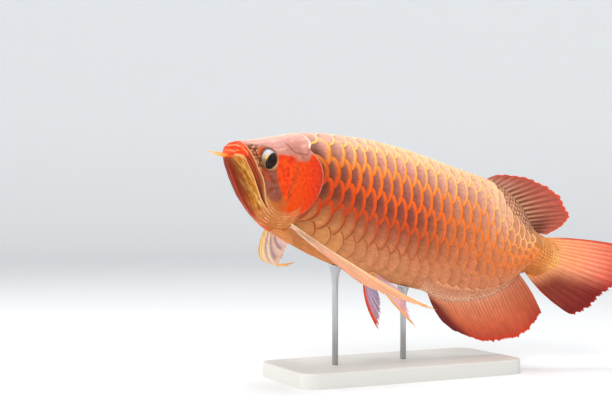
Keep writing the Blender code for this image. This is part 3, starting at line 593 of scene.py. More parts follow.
# ---- finishes
class Graph:
    """A material's nodes, with short ways to add and join them."""

    def __init__(self, name: str) -> None:
        """Starts a material with one Principled shader."""
        self.material = bpy.data.materials.new(name)
        self.material.use_nodes = True
        self.nodes = self.material.node_tree.nodes
        self.links = self.material.node_tree.links
        self.shader = self.nodes["Principled BSDF"]
        self.output = self.nodes["Material Output"]

    def node(self, kind: str, inputs: dict | None = None, **settings: object) -> Node:
        """Adds a node; an input given as a socket is linked, and any other is set."""
        made = self.nodes.new(kind)
        for key, value in settings.items():
            setattr(made, key, value)
        for key, value in (inputs or {}).items():
            if isinstance(value, NodeSocket):
                self.links.new(value, made.inputs[key])
            else:
                made.inputs[key].default_value = value
        return made

    def read(self, name: str, output: str = "Color") -> NodeSocket:
        """An attribute of the mesh."""
        return self.node("ShaderNodeAttribute", attribute_name=name).outputs[output]

    def place(self) -> NodeSocket:
        """The point's own place in metres."""
        return self.node("ShaderNodeTexCoord").outputs["Object"]

    def noise(self, scale: float, detail: float = 3.0, vector: NodeSocket | None = None,
              distortion: float = 0.0) -> NodeSocket:
        """Cloudy pattern from 0 to 1."""
        inputs = {"Vector": vector or self.place(), "Scale": scale, "Detail": detail,
                  "Distortion": distortion}
        return self.node("ShaderNodeTexNoise", inputs).outputs["Fac"]

    def span(self, value: NodeSocket, low: float, high: float, to_low: float = 0.0, to_high: float = 1.0,
             kind: str = "LINEAR") -> NodeSocket:
        """Maps a value's range to another."""
        inputs = {"Value": value, "From Min": low, "From Max": high, "To Min": to_low, "To Max": to_high}
        return self.node("ShaderNodeMapRange", inputs, interpolation_type=kind).outputs["Result"]

    def step(self, value: NodeSocket, low: float, high: float) -> NodeSocket:
        """Smooth step from 0 at low to 1 at high; low may be the larger."""
        return self.span(value, low, high, kind="SMOOTHSTEP")

    def cloud(self, scale: float, detail: float, low: float, high: float) -> NodeSocket:
        """Cloudy pattern between two values."""
        return self.span(self.noise(scale, detail), .3, .7, low, high)

    def maths(self, operation: str, a: object, b: object = 0.0) -> NodeSocket:
        """One operation on two values."""
        return self.node("ShaderNodeMath", {0: a, 1: b}, operation=operation).outputs[0]

    def mix(self, kind: str, share: object, a: object, b: object) -> NodeSocket:
        """Mixes two colours."""
        made = self.node("ShaderNodeMix", {0: share, 6: a, 7: b}, data_type="RGBA", blend_type=kind)
        return made.outputs[2]

    def times(self, a: object, b: object) -> NodeSocket:
        """One colour or value times another."""
        return self.mix("MULTIPLY", 1.0, a, b)

    def scaled(self, vector: NodeSocket, scale: tuple[float, float, float]) -> NodeSocket:
        """A place stretched along its axes."""
        return self.node("ShaderNodeMapping", {"Vector": vector, "Scale": scale}).outputs[0]

    def bump(self, height: NodeSocket, depth: float, strength: float = 1.0,
             under: NodeSocket | None = None) -> NodeSocket:
        """Relief of the given depth in metres, over another if given."""
        inputs: dict = {"Height": height, "Distance": depth, "Strength": strength}
        if under is not None:
            inputs["Normal"] = under
        return self.node("ShaderNodeBump", inputs).outputs["Normal"]

    def join(self, value: NodeSocket, socket: str) -> None:
        """Links a value to the shader."""
        self.links.new(value, self.shader.inputs[socket])

    def set(self, **values: float) -> None:
        """Sets the shader's plain numbers; underscores stand for spaces."""
        for key, value in values.items():
            self.shader.inputs[key.replace("_", " ")].default_value = value


@dataclass(frozen=True)
class Finish:
    """A finish by its material's name."""

    name: str

    def build(self) -> Material:
        """Makes the material."""
        g = Graph(self.name)
        self.wire(g)
        return g.material

    def wire(self, g: Graph) -> None:
        """Adds the finish's own nodes."""
        raise NotImplementedError


@dataclass(frozen=True)
class SkinFinish(Finish):
    """Wet, faintly mottled skin that carries painted markings."""

    rough: tuple[float, float] = (.34, .5)
    mottle: float = .09
    grain: float = 1400.0
    depth: float = .00012
    coat: float = .06

    def wire(self, g: Graph) -> None:
        """Adds the finish's own nodes."""
        broad = g.span(g.noise(160, 4, distortion=.4), .3, .7, 1 - self.mottle, 1 + self.mottle * .6)
        fine = g.cloud(900, 3, 1 - self.mottle * .5, 1 + self.mottle * .4)
        g.join(g.times(g.read("paint"), g.maths("MULTIPLY", broad, fine)), "Base Color")
        g.join(g.cloud(500, 2, *self.rough), "Roughness")
        g.join(g.bump(g.noise(self.grain, 4), self.depth, .5), "Normal")
        g.set(Coat_Weight=self.coat, Coat_Roughness=.12, Specular_IOR_Level=.1, Subsurface_Weight=.08,
              Subsurface_Scale=.004)
        g.shader.inputs["Subsurface Radius"].default_value = (1.0, .45, .25)


@dataclass(frozen=True)
class ScaleFinish(Finish):
    """Scale: a sheer streaked field inside a glowing rim, with a thin dark edge."""

    streaks: float = .13
    relief: float = .00026

    def wire(self, g: Graph) -> None:
        """Adds the nodes; attribute local is (rear edge distance in mm, across, own number)."""
        local = g.read("local", "Vector")
        parts = g.node("ShaderNodeSeparateXYZ", {0: local})
        edge, width = parts.outputs["X"], g.read("rim_width", "Fac")
        wobble = g.maths("MULTIPLY", g.cloud(330, 3, -.16, .16), width)
        share = g.maths("DIVIDE", g.maths("ADD", edge, wobble), width)
        band = g.step(share, 1.6, .45)
        streak = g.noise(1.0, 3, g.scaled(local, (.16, 7.0, 3.1)))
        lines = g.span(streak, .3, .7, 1 - self.streaks, 1 + self.streaks)
        field_tone = g.times(g.read("field"), lines)
        rim_tone = g.mix("MIX", g.step(share, .15, .75), g.read("rim"), g.read("rim_inner"))
        tone = g.mix("MIX", band, field_tone, rim_tone)
        darkness = g.maths("MULTIPLY", g.span(width, .9, 1.8, 0.0, .42), g.span(edge, .1, .42, 1.0, 0.0))
        tone = g.times(tone, g.maths("SUBTRACT", 1.0, darkness))
        cloud = g.maths("MULTIPLY", g.cloud(210, 4, .9, 1.07), g.cloud(850, 3, .93, 1.05))
        g.join(g.times(tone, cloud), "Base Color")
        g.join(g.span(band, 0, 1, .42, .34), "Roughness")
        wave = {"Vector": g.scaled(local, (1.0, 0, 0)), "Scale": .7, "Distortion": 2.0, "Detail": 2.0}
        rings = g.node("ShaderNodeTexWave", wave, wave_type="BANDS", bands_direction="X").outputs["Fac"]
        relief = g.bump(streak, .00014, .45, g.bump(rings, .00004, .15))
        g.join(g.bump(band, self.relief, .6, relief), "Normal")
        g.set(Coat_Weight=.06, Coat_Roughness=.14, Specular_IOR_Level=.11, Subsurface_Weight=.05,
              Subsurface_Scale=.003)


@dataclass(frozen=True)
class FinFinish(Finish):
    """Thin membrane on ribbed rays; some light comes through it."""

    glow: float = .3
    clear: bool = False

    def wire(self, g: Graph) -> None:
        """Adds the nodes; attribute weave is (ray number, share of the ray's length, 0)."""
        strand = g.noise(1.0, 3, g.scaled(g.read("weave", "Vector"), (8.0, 2.0, 1.0)))
        tone = g.times(g.read("paint"), g.span(strand, .3, .7, .8, 1.14))
        tone = g.times(tone, g.cloud(140, 3, .93, 1.06))
        g.join(tone, "Base Color")
        g.join(g.bump(strand, .00012, .5), "Normal")
        g.set(Roughness=.42, Coat_Weight=.05, Coat_Roughness=.22, Specular_IOR_Level=.1)
        if self.clear:
            g.join(g.read("solid", "Fac"), "Alpha")
        through = g.node("ShaderNodeBsdfTranslucent", {"Color": tone})
        both = g.node("ShaderNodeMixShader", {0: self.glow, 1: g.shader.outputs[0], 2: through.outputs[0]})
        g.links.new(both.outputs[0], g.output.inputs["Surface"])


@dataclass(frozen=True)
class EyeFinish(Finish):
    """Glossy eyeball under a clear coat."""

    def wire(self, g: Graph) -> None:
        """Adds the finish's own nodes."""
        g.join(g.times(g.read("paint"), g.cloud(1300, 4, .76, 1.18)), "Base Color")
        g.set(Roughness=.3, Specular_IOR_Level=0.0, Coat_Weight=.42, Coat_Roughness=.02, Coat_IOR=1.4)


@dataclass(frozen=True)
class PlainFinish(Finish):
    """Made surface of the stand or studio."""

    colour: int
    rough: float
    metal: float = 0.0
    variation: float = .03
    stretch: tuple[float, float, float] = (1.0, 1.0, 1.0)
    grain: float = 300.0
    depth: float = .00003

    def wire(self, g: Graph) -> None:
        """Adds the finish's own nodes."""
        pattern = g.noise(self.grain, 4, g.scaled(g.place(), self.stretch))
        base = (*rgb(self.colour), 1.0)
        g.join(g.times(base, g.span(pattern, .3, .7, 1 - self.variation, 1 + self.variation)),
               "Base Color")
        g.join(g.span(pattern, .3, .7, self.rough - .04, self.rough + .05), "Roughness")
        g.join(g.bump(pattern, self.depth, .5), "Normal")
        g.set(Metallic=self.metal)


@dataclass(frozen=True)
class BackdropFinish(Finish):
    """Pale paper that glows softly where it is far from the middle."""

    colour: int
    glow: float

    def wire(self, g: Graph) -> None:
        """Adds the finish's own nodes."""
        base = (*rgb(self.colour), 1.0)
        away = g.node("ShaderNodeVectorMath", {0: g.place()}, operation="LENGTH").outputs["Value"]
        g.join(g.span(away, 1.0, 4.6, 0.0, self.glow), "Emission Strength")
        g.shader.inputs["Base Color"].default_value = g.shader.inputs["Emission Color"].default_value = base
        g.set(Roughness=.9, Specular_IOR_Level=.1)


def finish_piece(obj: Object, material: Material, slot: str, *nodes: str) -> None:
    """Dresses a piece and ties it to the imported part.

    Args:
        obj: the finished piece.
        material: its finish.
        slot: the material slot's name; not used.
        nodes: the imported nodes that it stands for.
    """
    obj.data.materials.clear()
    obj.data.materials.append(material)
    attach(obj, BODY)
    if nodes:
        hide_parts(*nodes)
    obj.data.calc_loop_triangles()
    LOG.info(
        "%s: %d triangles, stands for %s", obj.name, len(obj.data.loop_triangles), ", ".join(nodes) or "-")


# ---- skin with the head's forms
@dataclass
class Head:
    """Lines and regions of the head in the side view, with its relief and markings."""

    body: BodyShape
    eye: tuple[float, float] = (.1062, -.061)
    eye_opening: float = .0212
    eye_oval: float = .91
    jaw_end: float = .1162
    mouth: Points2 = (
        (.018, -.0585), (.0239, -.0583), (.0286, -.0573), (.0393, -.0575), (.0506, -.062), (.0581, -.0744),
        (.0681, -.0898), (.077, -.1053), (.087, -.1241), (.0981, -.1429), (.1083, -.1553), (.1162, -.1646))
    ridge: Points2 = (
        (.048, -.033), (.0557, -.0435), (.065, -.0558), (.0738, -.0697), (.0801, -.0822), (.0883, -.0945),
        (.0949, -.1071), (.0993, -.1198), (.1039, -.1359), (.1104, -.1518), (.118, -.163))
    snout: Points2 = (
        (.01, -.056), (.0263, -.0562), (.0349, -.056), (.0471, -.0588), (.0554, -.059), (.054, -.048),
        (.0505, -.039), (.0479, -.032), (.0398, -.03), (.03, -.03), (.01, -.04))
    suborbital: Points2 = (
        (.0953, -.0915), (.106, -.088), (.1225, -.086), (.127, -.101), (.1367, -.1217), (.1428, -.1378),
        (.1377, -.1498), (.1246, -.1474), (.1106, -.1386), (.1019, -.1196))
    cheek: Points2 = (
        (.13, -.05), (.1495, -.0492), (.1706, -.051), (.1735, -.0737), (.17, -.0973), (.164, -.1145),
        (.1575, -.1283), (.159, -.14), (.1556, -.15), (.1473, -.1374), (.1388, -.1232), (.1292, -.0994),
        (.127, -.0748))
    groove: Points2 = (
        (.1726, -.047), (.1755, -.0736), (.1717, -.0972), (.165, -.1145), (.1587, -.13), (.1606, -.1414),
        (.1605, -.1581), (.168, -.176))
    cover_arc: Points2 = (
        (.23, -.0478), (.2415, -.0601), (.2481, -.073), (.2511, -.0897), (.2492, -.1069), (.2434, -.1244),
        (.2336, -.1423), (.2193, -.1588), (.2038, -.1701), (.1895, -.1761))
    cover: Points2 = (
        (.176, -.059), (.19, -.0585), (.206, -.056), (.215, -.042), *cover_arc, (.1724, -.181),
        (.161, -.162), (.162, -.143), (.1605, -.131), (.167, -.115), (.1735, -.098))
    cover_rim: Points2 = ((.2085, -.0297), (.2172, -.0373), *cover_arc, (.1724, -.1814))
    cover_top: Points2 = (
        (.169, -.047), (.174, -.056), (.183, -.058), (.192, -.054), (.198, -.047), (.2, -.04),
        (.1875, -.04))
    # painted highlight: a pale streak that runs down the snout from its tip
    snout_highlight: Points2 = ((.023, -.04), (.033, -.0385), (.042, -.0415), (.049, -.048), (.0545, -.0565))
    crease: Points2 = (
        (.152, -.02), (.1559, -.0241), (.1619, -.0312), (.1699, -.0388), (.1835, -.0417), (.203, -.0419),
        (.2092, -.0313))
    nostrils: Points2 = ((.0675, -.0352), (.0745, -.0418))
    fold_centre: tuple[float, float] = (.158, -.125)
    strap: Points2 = (
        (.047, -.058), (.053, -.0612), (.0598, -.069), (.0696, -.0828), (.0792, -.0983), (.0865, -.114),
        (.0937, -.1298), (.1005, -.1441), (.108, -.156))
    olive: Points2 = (
        (.0294, -.0665), (.0398, -.064), (.0573, -.082), (.0681, -.1008), (.0782, -.1195), (.0884, -.1351),
        (.0995, -.1506), (.1084, -.159), (.1, -.165), (.09, -.16), (.0807, -.1507), (.0684, -.1353),
        (.0572, -.1166), (.0409, -.0888))
    brow: Points2 = (
        (.0785, -.049), (.0865, -.0395), (.097, -.034), (.093, -.04), (.0868, -.047), (.0806, -.054))
    eye_streak: Points2 = (
        (.089, -.08), (.096, -.083), (.104, -.093), (.111, -.106), (.1065, -.108), (.099, -.099),
        (.092, -.09))
    nape: Points2 = (
        (.2075, .012), (.2102, .0006), (.2138, -.0061), (.2168, -.0146), (.2135, -.0225), (.2108, -.0262))
    jaw_spots: Points2 = (
        (.0405, -.0727), (.0485, -.0995), (.0552, -.1103), (.0776, -.1314), (.0928, -.1465), (.0535, -.091),
        (.0624, -.1065))
    cheek_dots: Points2 = ((.1331, -.0906), (.1585, -.1291), (.1641, -.1337), (.1761, -.0768))

    def __post_init__(self) -> None:
        """Rounds the lines once."""
        self.mouth_line, self.ridge_line = rounded(self.mouth), rounded(self.ridge)
        self.groove_line, self.crease_line = rounded(self.groove), rounded(self.crease)
        self.rim_line, self.strap_line, self.nape_line = map(rounded, (self.cover_rim, self.strap, self.nape))
        self.snout_highlight_line = rounded(self.snout_highlight)
        self.mouth_height = curve(*self.mouth)
        s = np.linspace(.0215, .13, 120)
        self.jaw_row = (s, np.array([self.body.v_at(k, float(self.mouth_height(k))) for k in s]))
        self.mottle = ripple(11)
        # direction of the closed jaw in the side view
        start, end = np.array(self.mouth[2]), np.array(self.mouth[-1])
        self.run = unit(end - start)

    def mouth_share(self, s: Array) -> Array:
        """Girth share of the line of the mouth."""
        return np.interp(s, *self.jaw_row)

    def jaw_share(self, s: Array, z: Array) -> Array:
        """1 on the lower jaw, 0 above the line of the mouth."""
        below = ease(self.mouth_height(s) - z, -.0006, .0006)
        return below * fall(s, self.jaw_end - .014, self.jaw_end + .01)

    def ahead_of_ridge(self, s: Array, z: Array, soft: float) -> Array:
        """1 in front of the ridge along the upper jaw's rear edge."""
        return ease(np.interp(-z, -self.ridge_line[:, 1], self.ridge_line[:, 0]) - s, -soft, soft)

    def round_eye(self, s: Array, z: Array) -> tuple[Array, Array]:
        """Distance from the eye's middle, in an oval that fits the eye, and direction."""
        across, up = s - self.eye[0], z - self.eye[1]
        return np.hypot(across / self.eye_oval, up), np.arctan2(up, across)

    def grain(self, s: Array, z: Array) -> tuple[Array, Array]:
        """Coarse and fine spots of the skin."""
        return self.mottle(s * 60, z * 60), self.mottle(s * 130 + 5, z * 130)

    def folds(self, s: Array, z: Array) -> tuple[Array, Array]:
        """Height and mask of the skin folds round the corner of the jaw."""
        r = np.hypot(s - self.fold_centre[0], z - self.fold_centre[1])
        low = ease(-z, .136, .15) * ease(r, .044, .05) * fall(r, .076, .086)
        low = low * fall(s, .184, .204) * ease(s, .1, .114)
        bent = r - .0008 * self.mottle(s * 22, z * 22)
        return np.cos(bent * 2 * np.pi / .005) * (.55 + .45 * self.mottle(s * 40 + 3, z * 40)), low

    def relief(self, s: Array, v: Array) -> Array:
        """Lift of the head's forms over the plain body.

        Args:
            s: stations.
            v: girth shares.

        Returns:
            The lift in body lengths, negative in pits and folds.
        """
        z = self.body.sample(s, v)[1]
        mouth = distance(self.mouth_line, s, z)
        jaw = self.jaw_share(s, z)
        lift = .0012 * bell(mouth - .0042, .0026) - (.0014 + .0018 * ease(s, .05, .09)) * bell(mouth, .001)
        lift += .0014 * within(self.snout, s, z, .0022) * (1 - jaw)
        edge = distance(self.ridge_line, s, z)
        ahead = self.ahead_of_ridge(s, z, .0008) * (1 - jaw)
        lift += .0016 * ahead * ease(s, .045, .055) * fall(s, .104, .118)
        lift += .0011 * bell(edge, .0014) * fall(s, .108, .122)
        lift -= .0011 * near(self.strap_line, s, z, .0014)
        r, angle = self.round_eye(s, z)
        lift += .0018 * bell(r - self.eye_opening - .0024, .0024) * (.7 + .3 * np.sin(angle))
        lift += .0005 * bell(r - self.eye_opening - .0085, .0016) * ease(-angle, -.6, .6)
        lift -= .012 * fall(r, self.eye_opening - .0022, self.eye_opening)
        for at in self.nostrils:
            hole = np.hypot(s - at[0], z - at[1])
            lift += .001 * bell(hole - .0034, .0013) - .0036 * bell(hole, .0021)
        lift += .0009 * within(self.suborbital, s, z, .0025)
        lift += .0009 * within(self.cheek, s, z, .0032)
        lift -= .0003 * near(self.groove_line, s, z, .0022)
        cover = within(self.cover, s, z, .0042)
        ribs = np.cos((np.arctan2(z + .06, s - .172) * 15 + .5 * self.mottle(s * 22, z * 22)) * 2)
        lift += cover * (.0022 + .00009 * ribs)
        lift += .0008 * near(self.rim_line, s, z, .0013)
        lift -= .001 * near(self.crease_line, s, z, .0013)
        wave, low = self.folds(s, z)
        lift += .00016 * wave * low
        lift += .001 * bell(distance(self.nape_line, s, z) - .0002, .0018)
        lift += .00018 * self.mottle(s * 14, v * 70) * fall(v, .22, .34) * ease(s, .06, .09)
        return lift + jaw * .0003 * self.mottle(s * 60, v * 14)

    def markings(self, s: Array, v: Array) -> Array:
        """Colours of the head and throat, laid over each other from the skull to the eye's seam."""
        z = self.body.sample(s, v)[1]
        jaw = self.jaw_share(s, z)
        tone = self._snout(self._skull(s, v, z), s, z, jaw)
        tone = over(tone, (self._lower_jaw(s, v, z), jaw))
        for add in (self._lips, self._plates, self._seams):
            tone = add(tone, s, z)
        return over(tone, (0xD63E12, ease(v, .989, .998) * fall(s, .24, .36) * .9))

    def _skull(self, s: Array, v: Array, z: Array) -> Array:
        """Pink skull, brown skin in front of the eye and mauve bone below it."""
        spots, fine = self.grain(s, z)
        streaks = self.mottle(s * 16 + 2, v * 60)
        tone = ramp(
            v + .006 * spots, (0, 0xFFE0BE), (.03, 0xF4C4AC), (.1, 0xE2AA9E), (.2, 0xD0948A),
            (.3, 0xB87460), (.42, 0xA2522C), (.62, 0xA45626), (.8, 0xB46A30), (.92, 0xB6581A),
            (1.0, 0xCC541A))
        skull = fall(v, .22, .32) * ease(s, .05, .08)
        front = fall(s, .096, .112) * ease(v, .14, .24) * fall(v, .62, .74)
        below = within(self.suborbital, s, z, .006)
        ring = bell(self.round_eye(s, z)[0] - self.eye_opening - .004, .0034)
        return over(tone,
            (0xAA6C64, .26 * ease(streaks, .1, .9) * skull),
            (0xFCD6C2, .3 * ease(-streaks, .2, 1.0) * skull),
            (0xBE786A, .3 * ease(fine, .3, 1.1) * skull * ease(v, .06, .16)),
            (0xAA6252, .5 * skull * ease(v, .09, .19) * ease(s, .13, .17) * fall(s, .18, .2)),
            (0x7C381C, front * .92),
            (0xE09C6A, .66 * ease(fine, .25, .9) * front),
            (0x4A1E10, .58 * ease(-fine, .3, 1.0) * front),
            (0xE85C1E, within(self.brow, s, z, .0024) * .9),
            (0x7A3012, below * .94),
            (0x8E5044, .8 * ease(spots, -1.5, .5) * below),
            (0xBC7656, .25 * ease(fine, .4, 1.2) * below),
            (0xB03E18, within(self.eye_streak, s, z, .0022) * .85),
            (0x5C2C1A, .55 * ring * fall(s, .11, .122)))

    def _snout(self, tone: Array, s: Array, z: Array, jaw: Array) -> Array:
        """Red snout with painted highlights in its pale streaks, and the brown strap with its cream ridge
        along the upper jaw.
        """
        spots = self.grain(s, z)[0]
        strap = self.ahead_of_ridge(s, z, .0006) * (1 - jaw) * fall(s, .11, .124)
        strap_tone = ramp(
            s + .003 * spots, (.045, 0xD6421A), (.062, 0xA43E1A), (.09, 0x964824), (.112, 0xB67242))
        snout = within(self.snout, s, z, .0018) * (1 - jaw)
        # the mottled red's palest streaks are painted highlights
        glow = self.mottle(s * 70 + z * 60, z * 110)
        red = ramp(glow, (-1, 0xD82E0C), (.3, 0xEA4214), (.8, 0xF05826), (1.2, 0xFA8254))
        pale = near(self.ridge_line, s, z, .0015) * fall(s, .112, .124)
        return over(tone,
            (strap_tone, strap),
            (0x622210, .8 * near(self.strap_line, s, z, .0021) * (1 - jaw) * fall(s, .1, .112)),
            (red, snout),
            (0xFFBA8C, .6 * near(self.snout_highlight_line, s, z, .001) * snout),
            (0xF0BE86, pale * .9))

    def _lower_jaw(self, s: Array, v: Array, z: Array) -> Array:
        """Streaky golden jaw, dark brown towards the chin, red along the keel."""
        first = self.mouth_share(s)
        share = np.clip((v - first) / (1 - first + 1e-6), 0, 1)
        along, side = s * self.run[0] + z * self.run[1], s * self.run[1] - z * self.run[0]
        grain = .7 * self.mottle(along * 16, side * 190) + .45 * self.mottle(along * 50 + 2, side * 330)
        broad = self.mottle(along * 12 + 7, side * 60)
        tone = ramp(share + .05 * broad, (0, 0xCA742C), (.22, 0xBE661C), (.46, 0xB25012),
                    (.68, 0x983202), (.88, 0x862200), (.97, 0x8E2202))
        dark = fall(s, .05, .1) * ease(share, .12, .4) * fall(share, .92, .99)
        rear = ease(s, .066, .106) * fall(share, .72, .92)
        gold = ramp(grain, (-1.2, 0x98520E), (-.2, 0xB67828), (.5, 0xC89444), (1.2, 0xE0B86E))
        edge = within(self.olive, s, z, .01)
        stripe = 4 * edge * (1 - edge) * ease(share, .2, .4)
        tone = over(tone,
            (0x681600, .9 * dark),
            (ramp(grain, (-1, 0xAC5618), (1, 0xCE8646)), .85 * rear),
            (gold, within(self.olive, s, z, .0075) * .92),
            (0x76300A, .6 * stripe * ease(broad, -.4, .5)),
            (0x7E3A0E, .35 * ease(-grain, .5, 1.2) * fall(share, .8, .92)))
        for at in self.jaw_spots:
            p, q = (s - at[0]) * .45 - (z - at[1]) * .89, (s - at[0]) * .89 + (z - at[1]) * .45
            tone = over(tone, (0x883A0A, .7 * bell(np.hypot(p / 2.4, q), .0022)))
        return tone

    def _lips(self, tone: Array, s: Array, z: Array) -> Array:
        """Cream edge of the lower jaw, red tips of the lips and the line of the mouth, with painted shade in
        its slit only behind the snout.
        """
        mouth = distance(self.mouth_line, s, z)
        closed = fall(s, self.jaw_end - .004, self.jaw_end + .008)
        below = ease(self.mouth_height(s) - z, 0, .001)
        rear, dark = ease(s, .042, .056), ease(s, .056, .086)
        # painted shade: behind the snout the line of the mouth turns dark brown, as the slit between the jaws
        line = over(0xB04A1E, (0x5C1E0C, dark))
        return over(tone,
            (0xFAC88E, .55 * bell(mouth - .0028, .0014) * closed * below * ease(s, .024, .034)),
            (0xE64A1E, .8 * bell(mouth - .003, .003) * fall(s, .022, .034)),
            (0xFCD096, .85 * bell(mouth, .0012) * (1 - rear) * ease(s, .026, .032)),
            (line, .85 * bell(mouth, .0012) * closed * rear))

    def _plates(self, tone: Array, s: Array, z: Array) -> Array:
        """Glowing plates behind the eye and on the gill cover, with the cover's rim and membrane, and the
        throat's folds in painted highlight and shade.
        """
        spots, fine = self.grain(s, z)
        plate = ramp(spots + .5 * fine, (-1.4, 0xCC2C02), (0, 0xE03C04), (1.4, 0xF0540E))
        lower = bell(np.hypot((s - .168) / 1.3, z + .166), .021)
        inner = within(self.cover, s, z, .0022)
        cover = ramp(
            s + .004 * spots, (.16, 0xDC4202), (.185, 0xE04300), (.212, 0xDC3800), (.232, 0xD4320C),
            (.25, 0xB22E16))
        cover = over(cover,
            (0xD44200, bell(np.hypot(s - .186, (z + .15) / 1.4), .016) * .7),
            (0xB42604, .42 * ease(fine, .4, 1.2)),
            (0xFA681E, .22 * ease(-fine, .5, 1.2)))
        top = within(self.cover_top, s, z, .0055)
        tone = over(tone,
            (plate, within(self.cheek, s, z, .0028)),
            (0xCE4810, lower * .85),
            (cover, inner),
            (ramp(spots, (-1, 0xA0543E), (1, 0xCE8870)), top * .7),
            (0xA42206, (.26 + .22 * spots) * near(self.groove_line, s, z, .0026)))
        for at in self.cheek_dots:
            tone = over(tone, (0x701C0C, .7 * bell(np.hypot(s - at[0], z - at[1]), .002)))
        rim = distance(self.rim_line, s, z)
        outside = (1 - inner) * ease(s, .176, .2) * ease(-z, .085, .125) * fall(rim, .01, .016)
        wave, low = self.folds(s, z)
        # painted highlight on the folds' crests and painted shade in their troughs
        throat = ramp(wave, (-1, 0xAC6834), (.3, 0xC4824C), (1, 0xECC28C))
        return over(tone,
            (0x963A1E, outside * .9),
            (0xE08C7A, .85 * bell(rim, .0013) * (1 - .8 * ease(-z, .105, .14))),
            (throat, low * (.56 + .22 * fine)))

    def _seams(self, tone: Array, s: Array, z: Array) -> Array:
        """Skull crease in painted shade, the scale-like edge at the nape, nostrils with painted shade and a
        painted highlight, and the dark seam round the eye, painted shade of its socket.
        """
        r, angle = self.round_eye(s, z)
        # painted shade along the skull crease, under the edge of the plate
        tone = over(tone,
            (0x703E36, .7 * near(self.crease_line, s, z, .0015)),
            (0xFFE6C2, .92 * near(self.nape_line, s, z, .0024)))
        for at in self.nostrils:
            hole = np.hypot(s - at[0], z - at[1])
            # painted shade in each nostril's pit, and a painted highlight on the pale spot beside it
            tone = over(tone,
                (0xFADEBE, .7 * bell(np.hypot(s - at[0] - .0022, z - at[1] + .003), .0018)),
                (0x2C100A, bell(hole, .0024)))
        under = bell(angle + .85, .75)
        # painted shade: the dark seam where the skin dives into the eye's socket, and a dark mauve band over
        # the eye's top
        return over(tone,
            (0xF0C89A, .6 * bell(r - self.eye_opening - .0018, .0012) * under),
            (0x66382C, .75 * bell(r - self.eye_opening - .0018, .002) * bell(angle - 1.2, 1.0)),
            (0x1C0C08, fall(r, self.eye_opening - .0018, self.eye_opening + .0012)))


@dataclass
class Lattice:
    """Where the rows and columns of large scales lie."""

    body: BodyShape
    rows: float = 6.6
    slant: float = .26
    pitch: float = .0355
    first: float = .253
    last: float = .955
    tail: float = .981
    head_edge: Curve = curve(
        (-.24, .172), (-.218, .176), (-.2, .186), (-.1874, .1985), (-.1777, .214), (-.1614, .2275),
        (-.1435, .2385), (-.1242, .2462), (-.105, .2505), (-.0897, .252), (-.073, .2495), (-.06, .243),
        (-.0478, .2315), (-.0373, .219), (-.031, .212), (-.0256, .2141), (-.0146, .2197), (-.0061, .2165),
        (.0006, .2127), (.012, .21))
    tail_edge: Curve = curve(
        (-.176, .943), (-.16, .965), (-.14, .985), (-.115, .997), (-.09, .99), (-.066, .965))

    def __post_init__(self) -> None:
        """Edges of the scaled trunk by girth share, and the columns' stations."""
        v = self.body.v_grid
        self.front = self.head_edge(self.body.sample(.22, v)[1])
        width = 13
        padded = np.pad(self.front, width, mode="reflect")
        self.calm_front = np.convolve(padded, np.hanning(2 * width + 1) / width, "same")[width:-width]
        self.rear = self.tail_edge(self.body.sample(self.last, v)[1])
        self.columns, s, k = [], self.first, 0.0
        while s < self.last:
            self.columns.append(s)
            s += (self.pitch - .0003 * k) / 2 * (1 - .48 * ease(s, .78, .93))
            k += .5

    def share(self, s: Array, row: Array) -> Array:
        """Girth share of a row; the rows leave room for the small scales at the fins' bases."""
        high = .205 * ease(s, .74, .85) * fall(s, .905, .96)
        low = .055 * ease(s, .665, .7) * fall(s, .915, .95)
        return high + row / self.rows * (1 - high - low)

    def tilt(self, s: Array, row: Array) -> Array:
        """Shift of a row along the body, so that the columns stand upright where the body slopes."""
        return .0125 * ease(s, .28, .55) * (1 - .5 * ease(s, .82, .93)) * (np.asarray(row) - self.rows / 2)

    def taper(self, s: Array) -> Array:
        """How far the skin sinks towards the tail fin, so that it meets the fin without a step."""
        return .0125 * ease(s, .945, 1.0)

    def station(self, s: Array, v: Array) -> Array:
        """A column's own stations: it follows the gill opening in front and the tail's base behind."""
        v = folded(v)
        ahead = np.interp(v, self.body.v_grid, self.calm_front) - self.first
        behind = np.interp(v, self.body.v_grid, self.rear) - self.tail
        near_front = np.exp(-np.clip(s - self.first, 0, 9) / .03)
        return s + ahead * near_front + behind * ease(s, .86, self.tail) ** 1.5


